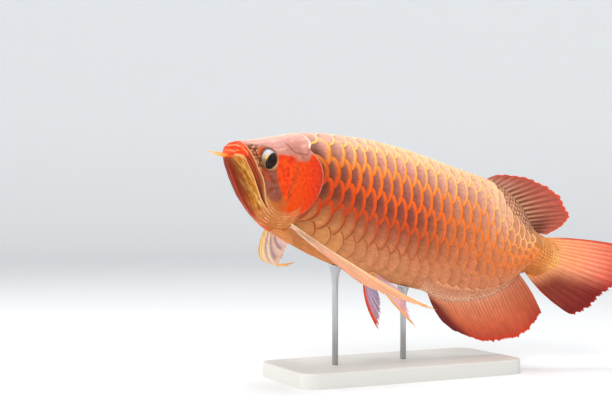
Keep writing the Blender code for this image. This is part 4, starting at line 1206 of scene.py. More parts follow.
@dataclass
class Skin:
    """One skin over head, jaw, gill covers and trunk, with a real fold behind each gill cover."""

    body: BodyShape
    head: Head
    lattice: Lattice
    head_rings: int = 196
    trunk_rings: int = 52
    rows: int = 176
    mouth_row: float = .56
    trunk_depth: float = .0011
    head_span: tuple[float, float] = (.0218, .236)
    flap: Points2 = ((.0007, .0006), (.0008, .0014), (.0002, .0024), (-.006, .0046), (-.013, .0066),
                     (-.006, .0074), (.004, .0062))

    def _row_map(self, s: Array) -> Array:
        """Girth shares of the rows at each station; one row follows the line of the mouth."""
        w = np.linspace(0, 1, 4001)
        density = 1 + 2.6 * bell(w - self.mouth_row, .03) + .6 * bell(w - self.mouth_row, .12)
        total = np.concatenate([[0], np.cumsum((density[1:] + density[:-1]) / 2)])
        w = np.interp(np.linspace(0, 1, self.rows), total / total[-1], w)
        on_mouth = self.head.mouth_share(s)
        on_mouth = on_mouth + (self.mouth_row - on_mouth) * ease(s, self.head.jaw_end, .185)
        return np.stack([np.interp(w, [0, self.mouth_row, 1], [0, m, 1]) for m in on_mouth])

    def _stations(self) -> Array:
        """Stations of the head's rings, closest at the snout."""
        t = np.linspace(0, 1, self.head_rings)
        low, high = self.head_span
        return low + (high - low) * (t * .72 + .28 * t ** 2.6) * (1 - .25 * (1 - t) ** 3)

    def build(self, material: Material) -> None:
        """Makes the skin.

        Args:
            material: its finish.
        """
        stations = self._stations()
        v_head = self._row_map(stations)
        v_rear = v_head[-1]
        edge = np.interp(v_rear, self.body.v_grid, self.lattice.front)
        fold = ease(v_rear, .06, .13) * fall(v_rear, .84, .93) + .35 * fall(v_rear, .06, .13)
        rings = []
        for s, v in zip(stations, v_head):
            pull = max(0.0, (s - .15) / .086) ** 2
            at = s + (np.interp(v, self.body.v_grid, self.lattice.front) - self.head_span[1]) * pull
            rise = .0038 * fold * ease(at - edge, -.06, -.002) * ease(s, .15, .225)
            rise = rise * (1 - .4 * within(self.head.cover, at, self.body.sample(at, v)[1], .004))
            lift = self.head.relief(at, v) * (1 - ease(s, .222, .236) * (v < .2)) * ease(s, .0217, .025)
            rings.append((at, v, lift + rise, self.head.markings(at, v)))
        last, tone = rings[-1][2:]
        # the flap's edge, its underside, and the way back out to the trunk
        for k, (shift, drop) in enumerate(self.flap, 1):
            back = last + (-self.trunk_depth - last) * k / len(self.flap)
            shade = over(tone, (0x4A2218, ease(k, 2, 5) * .9))
            at = edge + shift * fold + .0004 * k * (1 - fold)
            rings.append((at, v_rear, (last - drop) * fold + (1 - fold) * back, shade))
        for s in np.linspace(.2605, self.lattice.tail, self.trunk_rings):
            at = self.lattice.station(s, v_rear) + .002 * fall(s, .26, .3)
            deep = self.trunk_depth + .0006 * fall(s, .26, .29) + self.lattice.taper(at)
            rings.append((at, v_rear, -deep, self.trunk_tone(s, v_rear)))
        s, v, lift, tones = (np.array(values) for values in zip(*rings))
        left, right = (self.body.skin(s, v, side.value, lift) for side in Side)
        ring = np.concatenate([left, right[:, -2::-1]], 1)
        ring[:, 0, 1] = ring[:, -1, 1] = ring[:, self.rows - 1, 1] = 0
        nose, end = ring[:1].copy(), ring[-1:].copy()
        nose[..., 1] = end[..., 1] = 0
        nose[..., 0] -= .0006
        end[..., 0] += .003
        colour = np.concatenate([tones, tones[:, -2::-1]], 1)
        obj = sheet("fish_skin", self.body.bend(np.concatenate([nose, ring, end])))
        paint(obj.data, "paint", np.concatenate([colour[:1], colour, colour[-1:]]))
        lay_grid(obj.data, len(ring) + 2, ring.shape[1])
        weld(obj)
        finish_piece(obj, material, "head_skin", "head", "lower_jaw", "gill_cover_left", "gill_cover_right",
                     "body_front", "body_middle", "body_rear")

    @staticmethod
    def trunk_tone(s: float, v: Array) -> Array:
        """Skin colour under and between the scales."""
        # the dark brown of the front's middle rows is painted shade in the pockets between the scales
        front = ramp(v, (0, 0xE2B092), (.3, 0x965C46), (.6, 0xBE603A), (.85, 0xD49664), (1, 0xDE824E))
        back = ramp(v, (0, 0xCE9676), (.5, 0xDE9262), (1, 0xE29E74))
        back = over(back,
            (0x90563E, fall(v, .12, .22) * ease(s, .74, .8)),
            (0xC47A56, ease(v, .9, .93) * ease(s, .65, .69)),
            (0xCA7036, ease(s, .885, .915)))
        return over(front, (back, ease(s, .45, .8)))


# ---- scales
@dataclass(frozen=True)
class ScaleTones:
    """Colours of the scales by row, at the front, middle and rear of the trunk."""

    rows: tuple[float, ...] = (0, .6, 1.1, 1.6, 2.1, 2.8, 3.5, 4.2, 4.9, 5.5, 6.6)

    def _blend(self, s: Array, row: Array, front: Array, middle: Array, rear: Array) -> Array:
        """Value at (s, row) between three columns of knots."""
        at_middle, at_rear = ease(s, .28, .48), ease(s, .52, .8)
        parts = [read(row, self.rows, table) for table in (front, middle, rear)]
        whole = parts[0] * (1 - at_middle[..., None]) + parts[1] * at_middle[..., None]
        return whole * (1 - at_rear[..., None]) + parts[2] * at_rear[..., None]

    def field(self, s: Array, row: Array) -> Array:
        """Colour of a scale's middle."""
        front = (
            0xF2BEA6, 0xE6AE9C, 0xD69C8C, 0xBA7868, 0x945648, 0x7A3A26, 0x803A22, 0xA65C34, 0xC8844E,
            0xCF8C53, 0xCF8048)
        middle = (
            0xFFCC9C, 0xF8BE96, 0xE4A48C, 0xCC8878, 0xAE6A5E, 0x924D41, 0x843E2E, 0x944A32, 0xBA6D48,
            0xC77E54, 0xCB8658)
        rear = (
            0xF2BC96, 0xECB290, 0xDCA088, 0xCE907C, 0xCA866C, 0xCC7E56, 0xC6744A, 0xC47048, 0xC2704A,
            0xC27450, 0xC27856)
        tone = self._blend(s, row, *map(rgbs, (front, middle, rear)))
        return over(tone, (0xC4764C, .8 * ease(s, .79, .88) * fall(row, 2.2, 4.6)))

    def rim(self, s: Array, row: Array) -> Array:
        """Colour of a scale's rim."""
        front = (
            0xFFEED0, 0xFFE4B2, 0xFDBE52, 0xF89422, 0xF06E10, 0xE45008, 0xD43E06, 0xBE3808, 0x9C3A10,
            0xA44E22, 0xCC804A)
        middle = (
            0xFFECBE, 0xFFDE9C, 0xFDC25E, 0xF69432, 0xF47C20, 0xEE6416, 0xE05212, 0xC84614, 0xAA4A24,
            0xB06238, 0xC88052)
        rear = (
            0xFACC8A, 0xFABC70, 0xF8AA54, 0xF4923C, 0xF0802C, 0xEC7626, 0xE87226, 0xE2722E, 0xDA7C42,
            0xD88A58, 0xD69064)
        tone = self._blend(s, row, *map(rgbs, (front, middle, rear)))
        return over(tone, (0xE48E50, .5 * ease(s, .79, .88) * fall(row, 2.2, 4.6)))

    def rim_inner(self, s: Array, row: Array) -> Array:
        """Colour towards the rim's inner side: cream near the back, the rim's own lower down."""
        return over(self.rim(s, row), (0xFFDEA0, .48 * fall(row, .9, 2.6)))

    def width(self, s: Array, row: Array) -> Array:
        """Width of a scale's rim in mm."""
        front = np.array([[1.1, 1.3, 1.9, 3.6, 4.8, 5.0, 4.4, 2.9, 1.5, .85, .5]]).T
        middle = np.array([[1.1, 1.3, 1.9, 2.8, 3.5, 3.6, 3.4, 2.6, 1.5, .9, .6]]).T
        rear = np.array([[1.0, 1.3, 1.8, 2.3, 2.6, 2.6, 2.4, 1.9, 1.2, .8, .7]]).T
        return self._blend(s, row, front, middle, rear)[..., 0]


class Plates:
    """Many small plates of one mesh, gathered one by one."""

    def __init__(self) -> None:
        """Starts with no plate."""
        self.parts: dict[str, list[Array]] = {}

    def add(self, **values: Array) -> None:
        """Adds one plate, with a row of every value for each of its points."""
        for name, value in values.items():
            self.parts.setdefault(name, []).append(value.reshape(-1, value.shape[-1]))

    def make(self, name: str, quads: Array, body: BodyShape) -> Object:
        """Makes the mesh.

        Args:
            name: the object's name.
            quads: the faces of one plate.
            body: the body whose bend lays the plates in the room.

        Returns:
            The object, with its colours, its measures and its map.
        """
        obj = repeated(name, quads, body.bend(np.array(self.parts.pop("points"))))
        lay_out(obj.data, np.concatenate(self.parts.pop("places")))
        put(obj.data, "rim_width", np.concatenate(self.parts.pop("rim_width"))[:, 0])
        put(obj.data, "local", np.concatenate(self.parts.pop("local")))
        for key, colours in self.parts.items():
            paint(obj.data, key, np.concatenate(colours))
        return obj


@dataclass
class ScaleCoat:
    """The large overlapping scales of one side, each a thin solid plate."""

    body: BodyShape
    lattice: Lattice
    side: Side
    tones: ScaleTones = field(default_factory=ScaleTones)
    along: tuple[float, ...] = (0, .25, .45, .6, .7, .78, .85, .9, .94, .97, .99, 1.0)
    across: int = 17
    reach: float = 1.32
    height: float = .0029
    thickness: float = .0003
    last: float = .938
    seed: int = 5

    def _places(self) -> list[tuple[float, float, float, float]]:
        """Each scale as (rear edge station, middle row, half height in rows, column pitch)."""
        out = []
        columns = self.lattice.columns
        for n, s in enumerate(columns[1:], 1):
            pitch = 2 * (s - columns[n - 1])
            for row in range(1, 7):
                at = s + self.lattice.tilt(s, row - .5)
                top = .28 if row == 1 and at < .775 else row - 1
                if (row + n) % 2 == 0 and at < self.last:
                    out.append((s, (top + row) / 2, (row - top) / 2, pitch))
            if n % 2 == 0 and s + self.lattice.tilt(s, 0) < .775 and self.side is Side.LEFT:
                out.append((s, 0.0, .3, pitch))
            if (7 + n) % 2 == 0 and s + self.lattice.tilt(s, 6.3) < .67 and self.side is Side.RIGHT:
                out.append((s, self.lattice.rows, self.lattice.rows - 6, pitch))
        return sorted(out)

    def _edge_gap(self, s: Array, row: Array, tall: float) -> Array:
        """Distance in mm of every point of a scale from its free edge."""
        x, y = s * self.body.length * MM, row * tall
        return distance(vec(x[-1], y[-1]), x, y)

    def build(self, material: Material) -> None:
        """Makes one side's scales.

        Args:
            material: their finish.
        """
        draw = np.random.default_rng(self.seed + self.side.value)
        a = np.array(self.along)[:, None]
        b = np.linspace(-1, 1, self.across)[None, :]
        angle = b * math.pi / 2
        plates, slant = Plates(), self.lattice.slant
        for number, (s, row, half, pitch) in enumerate(self._places()):
            grown = 1 + draw.uniform(-.05, .05)
            s, row = s + pitch * draw.uniform(-.035, .035), row + draw.uniform(-.025, .025)
            # leaf-shaped, and slanting below on the front of the flank
            slanted = ease(row, 1.4, 3.4) * (1 - .8 * ease(s, .4, .62))
            belly, rear = ease(row, 4.4, 6.2), ease(s, .66, .9)
            full = 1.95 - .2 * ease(row, .8, 1.8)
            power = np.where(b < 0, 2 / (full + .35 * slanted - .7 * belly), 2 / (full - .37 * slanted))
            fan_s = np.cos(angle) ** power
            fan_r = np.sign(b) * np.abs(np.sin(angle)) ** power
            margin_s = s - pitch / 2 + (pitch / 2 + .0012) * fan_s * grown
            margin_r = row + (half + slant * (1 - np.where(b < 0, 1.15, .6) * belly)) * fan_r
            at_s = s - self.reach * pitch + (margin_s - s + self.reach * pitch) * a
            at_r = row + .82 * half * b + (margin_r - row - .82 * half * b) * a ** .8
            tall = self.height * (1 - .42 * rear) * (1 - .78 * belly)
            lift = tall * (-.42 + 1.42 * a ** 1.15) * (1 - .5 * np.abs(b) ** 3 * a ** 2)
            lift = lift * (1 + draw.normal(0, .05) * b) + .00035 * (1 - b ** 2) * np.sin(np.pi * a)
            lift = lift - .0022 * ease(np.abs(b), .72, 1.0) * a
            at_s = at_s + self.lattice.tilt(at_s, at_r)
            v = self.lattice.share(at_s, at_r)
            gap = self._edge_gap(at_s, at_r, self.body.girth(s) * self.body.length * MM / self.lattice.rows)
            # painted shade: hidden parts darken, most of all in the pockets behind the gill cover, with a
            # painted shadow behind the cover's edge
            pocket = fall(s, .27, .4) * bell(row - 2.7, 1.2)
            depth = .18 + .28 * pocket + .12 * (1 - rear)
            dark = depth * ease(1 - a, .34 - .1 * pocket, .7 - .12 * pocket) * (1 - .6 * belly)
            shadow = .88 * fall(at_s - self.lattice.first, .007, .026) * bell(at_r - 2.3, 1.1)
            warm = .34 * (1 - belly) * (1 - .4 * rear) * ease(row, .7, 1.8) * fall(gap, 2.0, 7.0)
            # painted shade on the scales under the gill cover's lower corner
            shade_under_cover = fall(s, .27, .34) * ease(row, 3.4, 4.4) * fall(row, 5.9, 6.5)
            rim = self.tones.rim(at_s, at_r)
            inner = over(self.tones.field(at_s, at_r) * draw.uniform(.93, 1.06),
                (0x602C1A, dark),
                (0x2E120A, shadow),
                (rim, warm),
                (0x9C4214, .4 * shade_under_cover * (1 - a) + .16 * shade_under_cover))
            # random brightness, and painted shade on the rims in the pockets behind the gill cover
            bright = draw.uniform(.95, 1.04) * (1 - .3 * (fall(s, .27, .37) * bell(row - 2.3, 1.5)))
            narrow = 1 - (.45 + .4 * belly) * ease(np.abs(b), .74, .98)
            cell = ((s - pitch * .46 + pitch * .84 * (a - .5) - .22) / .76, (row + half * .9 * b) / 7.4 + .05)
            plates.add(
                points=self.body.skin(self.lattice.station(at_s, v), v, self.side.value, lift),
                local=vec(gap, b, number * 1.37),
                field=inner,
                rim=over(rim * bright, (inner, belly * ease(-b, .8, .97))),
                rim_inner=self.tones.rim_inner(at_s, at_r) * bright,
                rim_width=(self.tones.width(at_s, at_r) * narrow * draw.uniform(.9, 1.1))[..., None],
                places=vec(*cell))
        quads = quads_of(len(self.along), self.across)
        obj = plates.make(f"scales_{self.side.word}", quads, self.body)
        if self.side is Side.RIGHT:
            obj.data.flip_normals()
        wall = obj.modifiers.new("plate", "SOLIDIFY")
        wall.thickness, wall.offset = self.thickness, -1.0
        apply_all(obj)
        obj.data.shade_smooth()
        finish_piece(obj, material, "scales")


@dataclass(frozen=True)
class BeadPatch:
    """A patch of bead-like scales: its span, their spacing, height, and how far they fill it.

    start and end run along the body, high and low round it. spacing is (at start, at end, round
    the body), in body lengths. tones are (bead at high, bead at low, gap).
    """

    start: float
    end: float
    high: float
    low: float
    spacing: tuple[float, float, float]
    height: float
    fill: float
    tones: tuple[int, int, int]


@dataclass
class SmallScales:
    """Small bead-like scales at the bases of the fins and round the root of the tail."""

    body: BodyShape
    lattice: Lattice
    patches: tuple[BeadPatch, ...] = (
        BeadPatch(.758, .95, .0, .235, (.0096, .0076, .0104), .001, .98,
                  (0xBE866A, 0xDEA47E, 0x9C624A)),
        BeadPatch(.652, .935, .9, .998, (.0058, .0056, .0078), .0008, 1.06,
                  (0xCA8460, 0xE4B294, 0xC68262)),
        BeadPatch(.918, .998, .02, .98, (.011, .0056, .011), .001, 1.08,
                  (0xE09658, 0xDA7E34, 0xC66E32)))
    gold: int = 0xFFD474
    seed: int = 21
    steps: int = 6

    def _places(self) -> Iterator[tuple[BeadPatch, float, float, float, float]]:
        """Each bead as (patch, station, girth share, pitch along the body, pitch in girth share)."""
        for patch in self.patches:
            s, i = patch.start, 0
            while s < patch.end:
                along = float(np.interp(s, (patch.start, patch.end), patch.spacing[:2]))
                around = patch.spacing[2] * along / patch.spacing[0]
                girth = self.body.girth(s)
                count = max(2, int((patch.low - patch.high) * girth / around))
                for k in range(count + 1):
                    v = patch.high + (patch.low - patch.high) * (k + .5 * (i % 2)) / count
                    if v <= patch.low + .01:
                        yield patch, s, v, along, around / girth
                s, i = s + along, i + 1

    def _tone(self, patch: BeadPatch, s: float, v: float, bright: float) -> Array:
        """Colour of a bead, with painted shade near the dorsal fin's rear and a painted shadow on the tail
        root's lower side.
        """
        share = np.clip((v - patch.high) / (patch.low - patch.high), 0, 1)
        shade = 1 - .26 * (ease(s, .86, .91) * fall(s, .935, .955) * fall(v, .3, .5))
        # painted shade near the dorsal fin's rear, painted shadow on the lower tail root; the gold is the
        # beads' own colour
        return over(over(patch.tones[0], (patch.tones[1], share)) * bright * shade,
            (0x80341C, .5 * ease(s, .915, .93) * ease(v, .56, .84)),
            (self.gold, .35 * ease(s, .958, .985) * bell(v - .45, .3)))

    def build(self, material: Material) -> None:
        """Makes all small scales as one piece.

        Args:
            material: their finish.
        """
        draw = np.random.default_rng(self.seed)
        # a square grid turned into a disc: x tailwards, y round the body
        x, y = np.meshgrid(np.linspace(-1, 1, self.steps), np.linspace(-1, 1, self.steps), indexing="ij")
        far = np.maximum(np.abs(x), np.abs(y))
        turn = far / np.maximum(np.hypot(x, y), 1e-9)
        x, y = x * turn, y * turn
        dome = np.sqrt(np.clip(1 - .96 * far ** 2, 0, 1))
        plates, number = Plates(), 0
        for patch, s, v, along, around in self._places():
            for side in Side:
                number += 1
                size = patch.fill * draw.uniform(.86, 1.06)
                at_s = s + along * .56 * size * x + along * draw.uniform(-.07, .07)
                at_v = np.clip(v + around * .54 * size * y, 0, 1)
                station = self.lattice.station(at_s, at_v)
                rise = patch.height * (dome - .3) - self.lattice.taper(station)
                gap = (1 - far) * along * .5 * self.body.length * MM
                tone = np.broadcast_to(self._tone(patch, s, v, draw.uniform(.9, 1.06)), (gap.size, 3))
                plates.add(
                    points=self.body.skin(station, at_v, side.value, rise),
                    local=vec(gap, y, number * .91),
                    field=tone,
                    rim=np.broadcast_to(rgb(patch.tones[2]), (gap.size, 3)),
                    rim_inner=tone,
                    rim_width=np.full((gap.size, 1), along * 75),
                    places=vec((s - .66) / .34 + .003 * x,
                               .5 + side.value * (.01 + .47 * v) + .003 * y))
        obj = plates.make("small_scales", quads_of(self.steps, self.steps), self.body)
        weld(obj, 1e-7)
        finish_piece(obj, material, "scales")


# ---- eyes
@dataclass
class Eye:
    """One eyeball: a ball turned down and back, with a large pupil in a pale iris."""

    body: BodyShape
    side: Side
    centre: tuple[float, float] = (.1062, -.0612)
    radius: float = .0246
    oval: float = .92
    depth: float = .015
    sunk: float = .0082
    look: tuple[float, float] = (.04, -.03)

    def _axes(self) -> tuple[Array, Array]:
        """Centre of the ball, and its axes as rows: ahead, up, out."""
        v = self.body.v_at(*self.centre)
        s = np.array([self.centre[0]])
        p = self.body.skin(s, np.array([v]), self.side.value)[0]
        out = self.body.skin(s, np.array([v]), self.side.value, np.array([1.0]))[0] - p
        out = unit(unit(out) + np.array([0, 0, -.06]))
        back = unit(np.array([1.0, 0, 0]) - out * out[0])
        up = np.cross(back, out) * self.side.value
        return p - out * self.sunk, np.stack([back, up, out])

    def build(self, material: Material) -> None:
        """Makes the eyeball from a sphere primitive whose pole looks out."""
        word = self.side.word
        deselect()
        bpy.ops.mesh.primitive_uv_sphere_add(segments=72, ring_count=72, radius=1.0)
        obj = bpy.context.active_object
        ball = points_of(obj.data)
        # turn the pole from straight out towards where the fish looks
        pole = unit(np.array([*self.look, 1.0]))
        first = unit(np.cross([0, 1.0, 0], pole))
        turned = ball @ np.stack([first, np.cross(pole, first), pole])
        theta = np.arccos(np.clip(ball[:, 2], -1, 1))
        dome = 1 + .04 * bell(theta, .62)
        centre, axes = self._axes()
        local = turned * np.array([self.radius * self.oval, self.radius, self.depth]) * dome[:, None]
        shape(obj, f"eyeball_{word}", self.body.bend(centre + local @ axes))
        paint(obj.data, "paint", self._tones(turned))
        weld(obj)
        finish_piece(obj, material, "eye", f"eye_{word}")

    @staticmethod
    def _tones(at: Array) -> Array:
        """Pupil, iris and white of the eye by place on the ball: ahead, up and out."""
        x, y = at[:, 0], at[:, 1]
        angle = np.arctan2(y, x)
        # painted shade: the iris darkens at its top and round its rim, where the socket shades the ball
        iris = over(0x987A54,
            (0xCEC8D6, bell(angle - 1.9, .95)),
            (0x927A82, bell(angle - 1.3, .9) * ease(np.hypot(x, y), .72, .95)),
            (0xEAC05C, bell(np.hypot((x + .3) / .8, (y - .12) / 1.3), .26)),
            (0x705436, bell(angle + 2.5, .6) * .8),
            (0x4A2E22, .75 * ease(np.hypot(x, y), .77, .88)))
        # tilted oval pupil towards the lower rear
        c, d = x - .2, y + .13
        turn = math.radians(52)
        long, short = c * math.cos(turn) + d * math.sin(turn), -c * math.sin(turn) + d * math.cos(turn)
        r = np.where(at[:, 2] > -.1, np.hypot(long / .8, short / .56), 9)
        return over(iris,
            (0x160A08, fall(r, .94, 1.05)),
            (0x784A32, .5 * bell(r - .78, .05) * (.5 + .5 * np.sin(2 * angle + 1))),
            (0x543226, .4 * bell(r - .5, .06) * (.5 + .5 * np.sin(3 * angle))),
            (0xECD8BE, .9 * bell(r - 1.1, .05) * bell(np.arctan2(d, c) + .9, .8)))


# ---- fins
@dataclass
class Fin:
    """A fin: a membrane on rays that branch towards a scalloped margin."""

    body: BodyShape
    name: str
    node: str
    slot: str
    rays: int
    rows: int
    per_ray: int
    ray_thick: tuple[float, float] = (.0009, .0003)
    web_thick: tuple[float, float] = (.0003, .00016)
    notch: float = .03
    fork: float = .42
    wave: float = .0022
    seed: int = 3
    leading: float = 1.0
    teeth: tuple[float, float] = (0.0, 0.0)
    fleshy: float = 0.0
    root: Rows = ()
    margin: Rows = ()
    palette: Palette | None = None
    sink: float = .03

    def surface(self, u: Array, t: Array) -> Array:
        """Middle surface in body lengths at root share u and length share t."""
        raise NotImplementedError

    def tones(self, u: Array, t: Array, ray: Array) -> tuple[Array, Array]:
        """Colour, and how solid it is, at each point."""
        raise NotImplementedError

    def _ray(self, r: Array, t: Array) -> Array:
        """1 on a ray or on one of its branches, falling to 0 between them."""
        offset = r - np.round(r)
        first = .2 * ease(t, self.fork, 1.0) + 0 * offset
        second = .085 * ease(t, self.fork + .26, 1.05) + 0 * offset
        off = np.abs(np.abs(np.abs(offset) - first) - second)
        off = np.where(first > 0, off, np.abs(offset))
        width = .17 - .1 * ease(t, .1, .9)
        return bell(off, width)

    @staticmethod
    def _around(front: Array, back: Array) -> Array:
        """Rows that run out over one face and home over the other."""
        return np.concatenate([front, back[:, ::-1], front[:, :1]], 1)

    def build(self, material: Material) -> None:
        """Makes the fin as one closed sheet.

        Args:
            material: its finish.
        """
        draw = np.random.default_rng(self.seed)
        across = (self.rays - 1) * self.per_ray + 1
        u = np.linspace(0, 1, across)[None, :]
        t = np.linspace(0, 1, self.rows)[:, None]
        r = u * (self.rays - 1)
        reach = 1 + .016 * np.interp(r, np.arange(self.rays), draw.normal(0, 1, self.rays))
        reach = reach - self.notch * (1 - self._ray(r, np.ones_like(r)))
        reach = reach - ((r + .2) % 1.0) * (self.teeth[0] * (1 - u) + self.teeth[1] * u)
        reach = np.clip(reach, .8, 1.02)
        grown = t * (1 + (reach - 1) * t ** 2)
        middle = self.surface(u + 0 * t, grown)
        ripple_of = self.wave * t ** 1.3 * np.sin(2 * math.pi * (u * 2.3 + .35 * t) + self.seed)
        ray = self._ray(r, t)
        lead = 1 + (self.leading - 1) * np.exp(-(r / .6) ** 2) * (1 - .6 * t)
        at_root, at_tip = self.ray_thick
        half = self.web_thick[0] + (self.web_thick[1] - self.web_thick[0]) * t
        flesh = 1 - ease(t, 0, self.fleshy) if self.fleshy else 0 * t
        spacing = np.linalg.norm(np.gradient(middle, axis=1), axis=-1) * self.per_ray
        shallow = np.minimum(1, .26 * spacing / at_root)
        stem = np.sqrt(np.clip(1 - (2 * u - 1) ** 2, .02, 1))
        ribs = ray * lead * (1 - flesh) * shallow + 1.2 * flesh * stem
        half = half + (at_root - self.web_thick[0] + (at_tip - at_root) * t) * ribs
        half = half * (1 - ease(t, .97, 1.0) * .85)
        tone, solid = self.tones(u + 0 * t, t + 0 * u, ray)
        joints = bell(((t * self.rows * .45) % 1.0) - .5, .16) * ray * ease(t, .12, .3)
        tone = tone * (1 - .1 * joints[..., None])
        place = self.body.bend(middle)
        n = unit(np.cross(np.gradient(place, axis=1), np.gradient(place, axis=0)), 1e-12)
        place = place + n * (ripple_of * self.body.length)[..., None]
        front, back = place + n * half[..., None], place - n * half[..., None]
        flat = self._around(place, place)
        ring = np.concatenate([flat[:1], self._around(front, back), flat[-1:]])
        weave = vec(r, t, 0.0)
        colour, thick, weave = (self._around(x, x) for x in (tone, solid, weave))
        colour, thick, weave = (np.concatenate([x[:1], x, x[-1:]]) for x in (colour, thick, weave))
        obj = sheet(self.name, ring)
        paint(obj.data, "paint", colour)
        put(obj.data, "solid", thick.ravel())
        put(obj.data, "weave", weave.reshape(-1, 3))
        lay_grid(obj.data, *ring.shape[:2])
        weld(obj)
        finish_piece(obj, material, self.slot, self.node)


@dataclass
class MidlineFin(Fin):
    """A fin on the body's midline, between a root line and a margin line."""

    bow: Curve | None = None

    def surface(self, u: Array, t: Array) -> Array:
        """Straight rays from root to margin, bowed where given."""
        flat = u.ravel()
        root, edge = (spatial(flat, [(k, s, 0.0, z) for k, s, z in line]).reshape(*u.shape, 3)
                      for line in (self.root, self.margin))
        t = (t * (1 + self.sink) - self.sink)[..., None]
        middle = root * (1 - t) + edge * t
        if self.bow is not None:
            middle = middle + self.bow(flat).reshape(*u.shape, 3) * (2 * t * (1 - t))
        return middle

    def tones(self, u: Array, t: Array, ray: Array) -> tuple[Array, Array]:
        """The fin's own palette; it is solid all over."""
        return self.palette(u, t, ray), np.ones_like(t)


@dataclass
class SweptFin(Fin):
    """A paired fin whose rays sweep from a short root past a control line to the margin."""

    control: Rows = ()
    clearness: float = .25
    sink: float = .1

    def surface(self, u: Array, t: Array) -> Array:
        """Curved rays; the root is sunk a little into the body."""
        flat = u.ravel()
        a, c, b = (
            spatial(flat, rows).reshape(*u.shape, 3) for rows in (self.root, self.control, self.margin))
        t = (t * (1 + self.sink) - self.sink)[..., None]
        deep, t = np.minimum(t, 0), np.maximum(t, 0)
        inwards = .6 * (c - a) + a * np.array([0, 6.0, -.2])
        return a * (1 - t) ** 2 + 2 * c * t * (1 - t) + b * t * t + deep * inwards

    def tones(self, u: Array, t: Array, ray: Array) -> tuple[Array, Array]:
        """The fin's own palette, sheer between the rays."""
        sheer = self.clearness * (1 - ray) * ease(u, .1, .35)
        return self.palette(u, t, ray), 1 - sheer


class FinPalettes:
    """Colours of the fins by root share, length share and ray."""

    @staticmethod
    def dorsal(u: Array, t: Array, ray: Array) -> Array:
        """Light ribs with dark grooves at the root, rose brown outwards, orange red edge."""
        groove = ramp(t, (0, 0x623022), (.22, 0x783A2C), (.46, 0xA85644),
                      (.88, 0xB85A4C), (.96, 0xC85440), (1, 0xF05830))
        rib = ramp(t, (0, 0xE8AE88), (.3, 0xD89072), (.6, 0xCC765E), (.88, 0xC46250), (1, 0xF25C34))
        return over(groove,
            (rib, ray ** .35),
            (0xE0A692, .38 * fall(u, .14, .42) * fall(t, .3, .8)),
            (0x622A20, .7 * (ease(u + .1 * t, .66, .92) * fall(t, .25, .75))))

    @staticmethod
    def anal(u: Array, t: Array, ray: Array) -> Array:
        """Salmon red with thin dark lines, maroon in front and towards the margin, red edge."""
        web = ramp(t, (0, 0xECA682), (.2, 0xE68E66), (.6, 0xDE704A),
                   (.88, 0xCE563C), (.96, 0xD8462A), (1, 0xF04622))
        dark = ramp(t, (0, 0xB0583E), (.3, 0xB24E36), (.85, 0xB04030), (1, 0xEC3E22))
        return over(web,
            (dark, ray ** 2.2 * (.82 - .6 * ease(t, .22, .85)) * (.78 + .22 * np.sin(u * 61))),
            (0x92342A, .4 * ease(u, .8, .97) * ease(t, .35, .8)),
            (0xA8462C, .42 * ease(u, .62, .9) * fall(t, .45, .85)),
            (0x702222, .92 * fall(u - .12 * t, .01, .17) * ease(t, .04, .3)))

    @staticmethod
    def tail(u: Array, t: Array, ray: Array) -> Array:
        """Peach with pale streaks from a golden root; the lower lobe is dark maroon."""
        web = ramp(t, (0, 0xE8944E), (.2, 0xFAA670), (.5, 0xFC9870),
                   (.8, 0xEC6C58), (.95, 0xDC5044), (1, 0xE63E2C))
        bright = ramp(t, (0, 0xF8BE68), (.25, 0xFFD29A), (.6, 0xFFBE96), (.9, 0xEE745E), (1, 0xE64E38))
        low = ease(u + .14 * t, .56, .86) * ease(t, .06, .4)
        return over(web,
            (bright, ray ** 1.2 * .85 * fall(u, .5, .85)),
            (0xD63822, .8 * fall(u, .012, .045) * ease(t, .12, .3)),
            (0x741E1C, low * .9),
            (0xBE4C38, .45 * ray ** 1.6 * ease(u, .55, .85) * fall(t, .6, .95)),
            (0xD63824, .8 * low * np.maximum(ease(u, .975, 1.0), ease(t, .965, 1.0))))

    @staticmethod
    def pectoral(u: Array, t: Array, ray: Array) -> Array:
        """Broad cream leading ray, peach membrane with thin orange lines."""
        web = ramp(t, (0, 0xFFDEBA), (.35, 0xFAC8A0), (1, 0xF4AC7E))
        lead = ramp(t, (0, 0xFFD0B0), (.25, 0xFFEED0), (.6, 0xFCD8A6), (1, 0xFCAE58))
        return over(web,
            (0xFFF0D6, ray * (.8 - .35 * ease(t, .3, .7))),
            (0xE06E40, .75 * bell(ray - .25, .14) * ease(u, .1, .2)),
            (0xDE8C96, .4 * ease(u, .55, .95) * (1 - ray)),
            (lead, fall(u, .06, .2)),
            (0xFCC4A0, .8 * fall(t, .02, .14)))

    @staticmethod
    def far_pectoral(u: Array, t: Array, ray: Array) -> Array:
        """Cream and peach with a few thick purple lines and a yellow rim."""
        web = ramp(u, (0, 0xFFD87C), (.3, 0xFFE4BA), (.7, 0xFFDEC4), (1, 0xFFDCD2))
        lines = bell(u - .34, .05) + bell(u - .56, .055) + bell(u - .8, .06)
        return over(web,
            (0xFCBE8C, .35 * ray * fall(u, .8, 1.0)),
            (0x966492, .7 * lines * ease(t, .04, .25) * fall(t, .74, .98)),
            (0xFCAC46, .8 * fall(u, .0, .07) + .5 * bell(t - 1, .05)))

    @staticmethod
    def pelvic(u: Array, t: Array, ray: Array) -> Array:
        """Pink lilac membrane on an orange yellow first ray."""
        web = ramp(u, (0, 0xFCC88C), (.3, 0xF2BEBA), (1, 0xDEBED4))
        return over(web, (0xF08C6A, ray ** 1.3 * .6), (0xFFB85C, fall(u, .05, .18)))

    @staticmethod
    def far_pelvic(u: Array, t: Array, ray: Array) -> Array:
        """Red orange first ray, bluish membrane."""
        web = ramp(u, (0, 0xF07854), (.3, 0xBEA0BE), (1, 0x96A0D4))
        return over(web, (0xDC6856, ray ** 1.3 * .6), (0xF04E22, fall(u, .06, .2)))


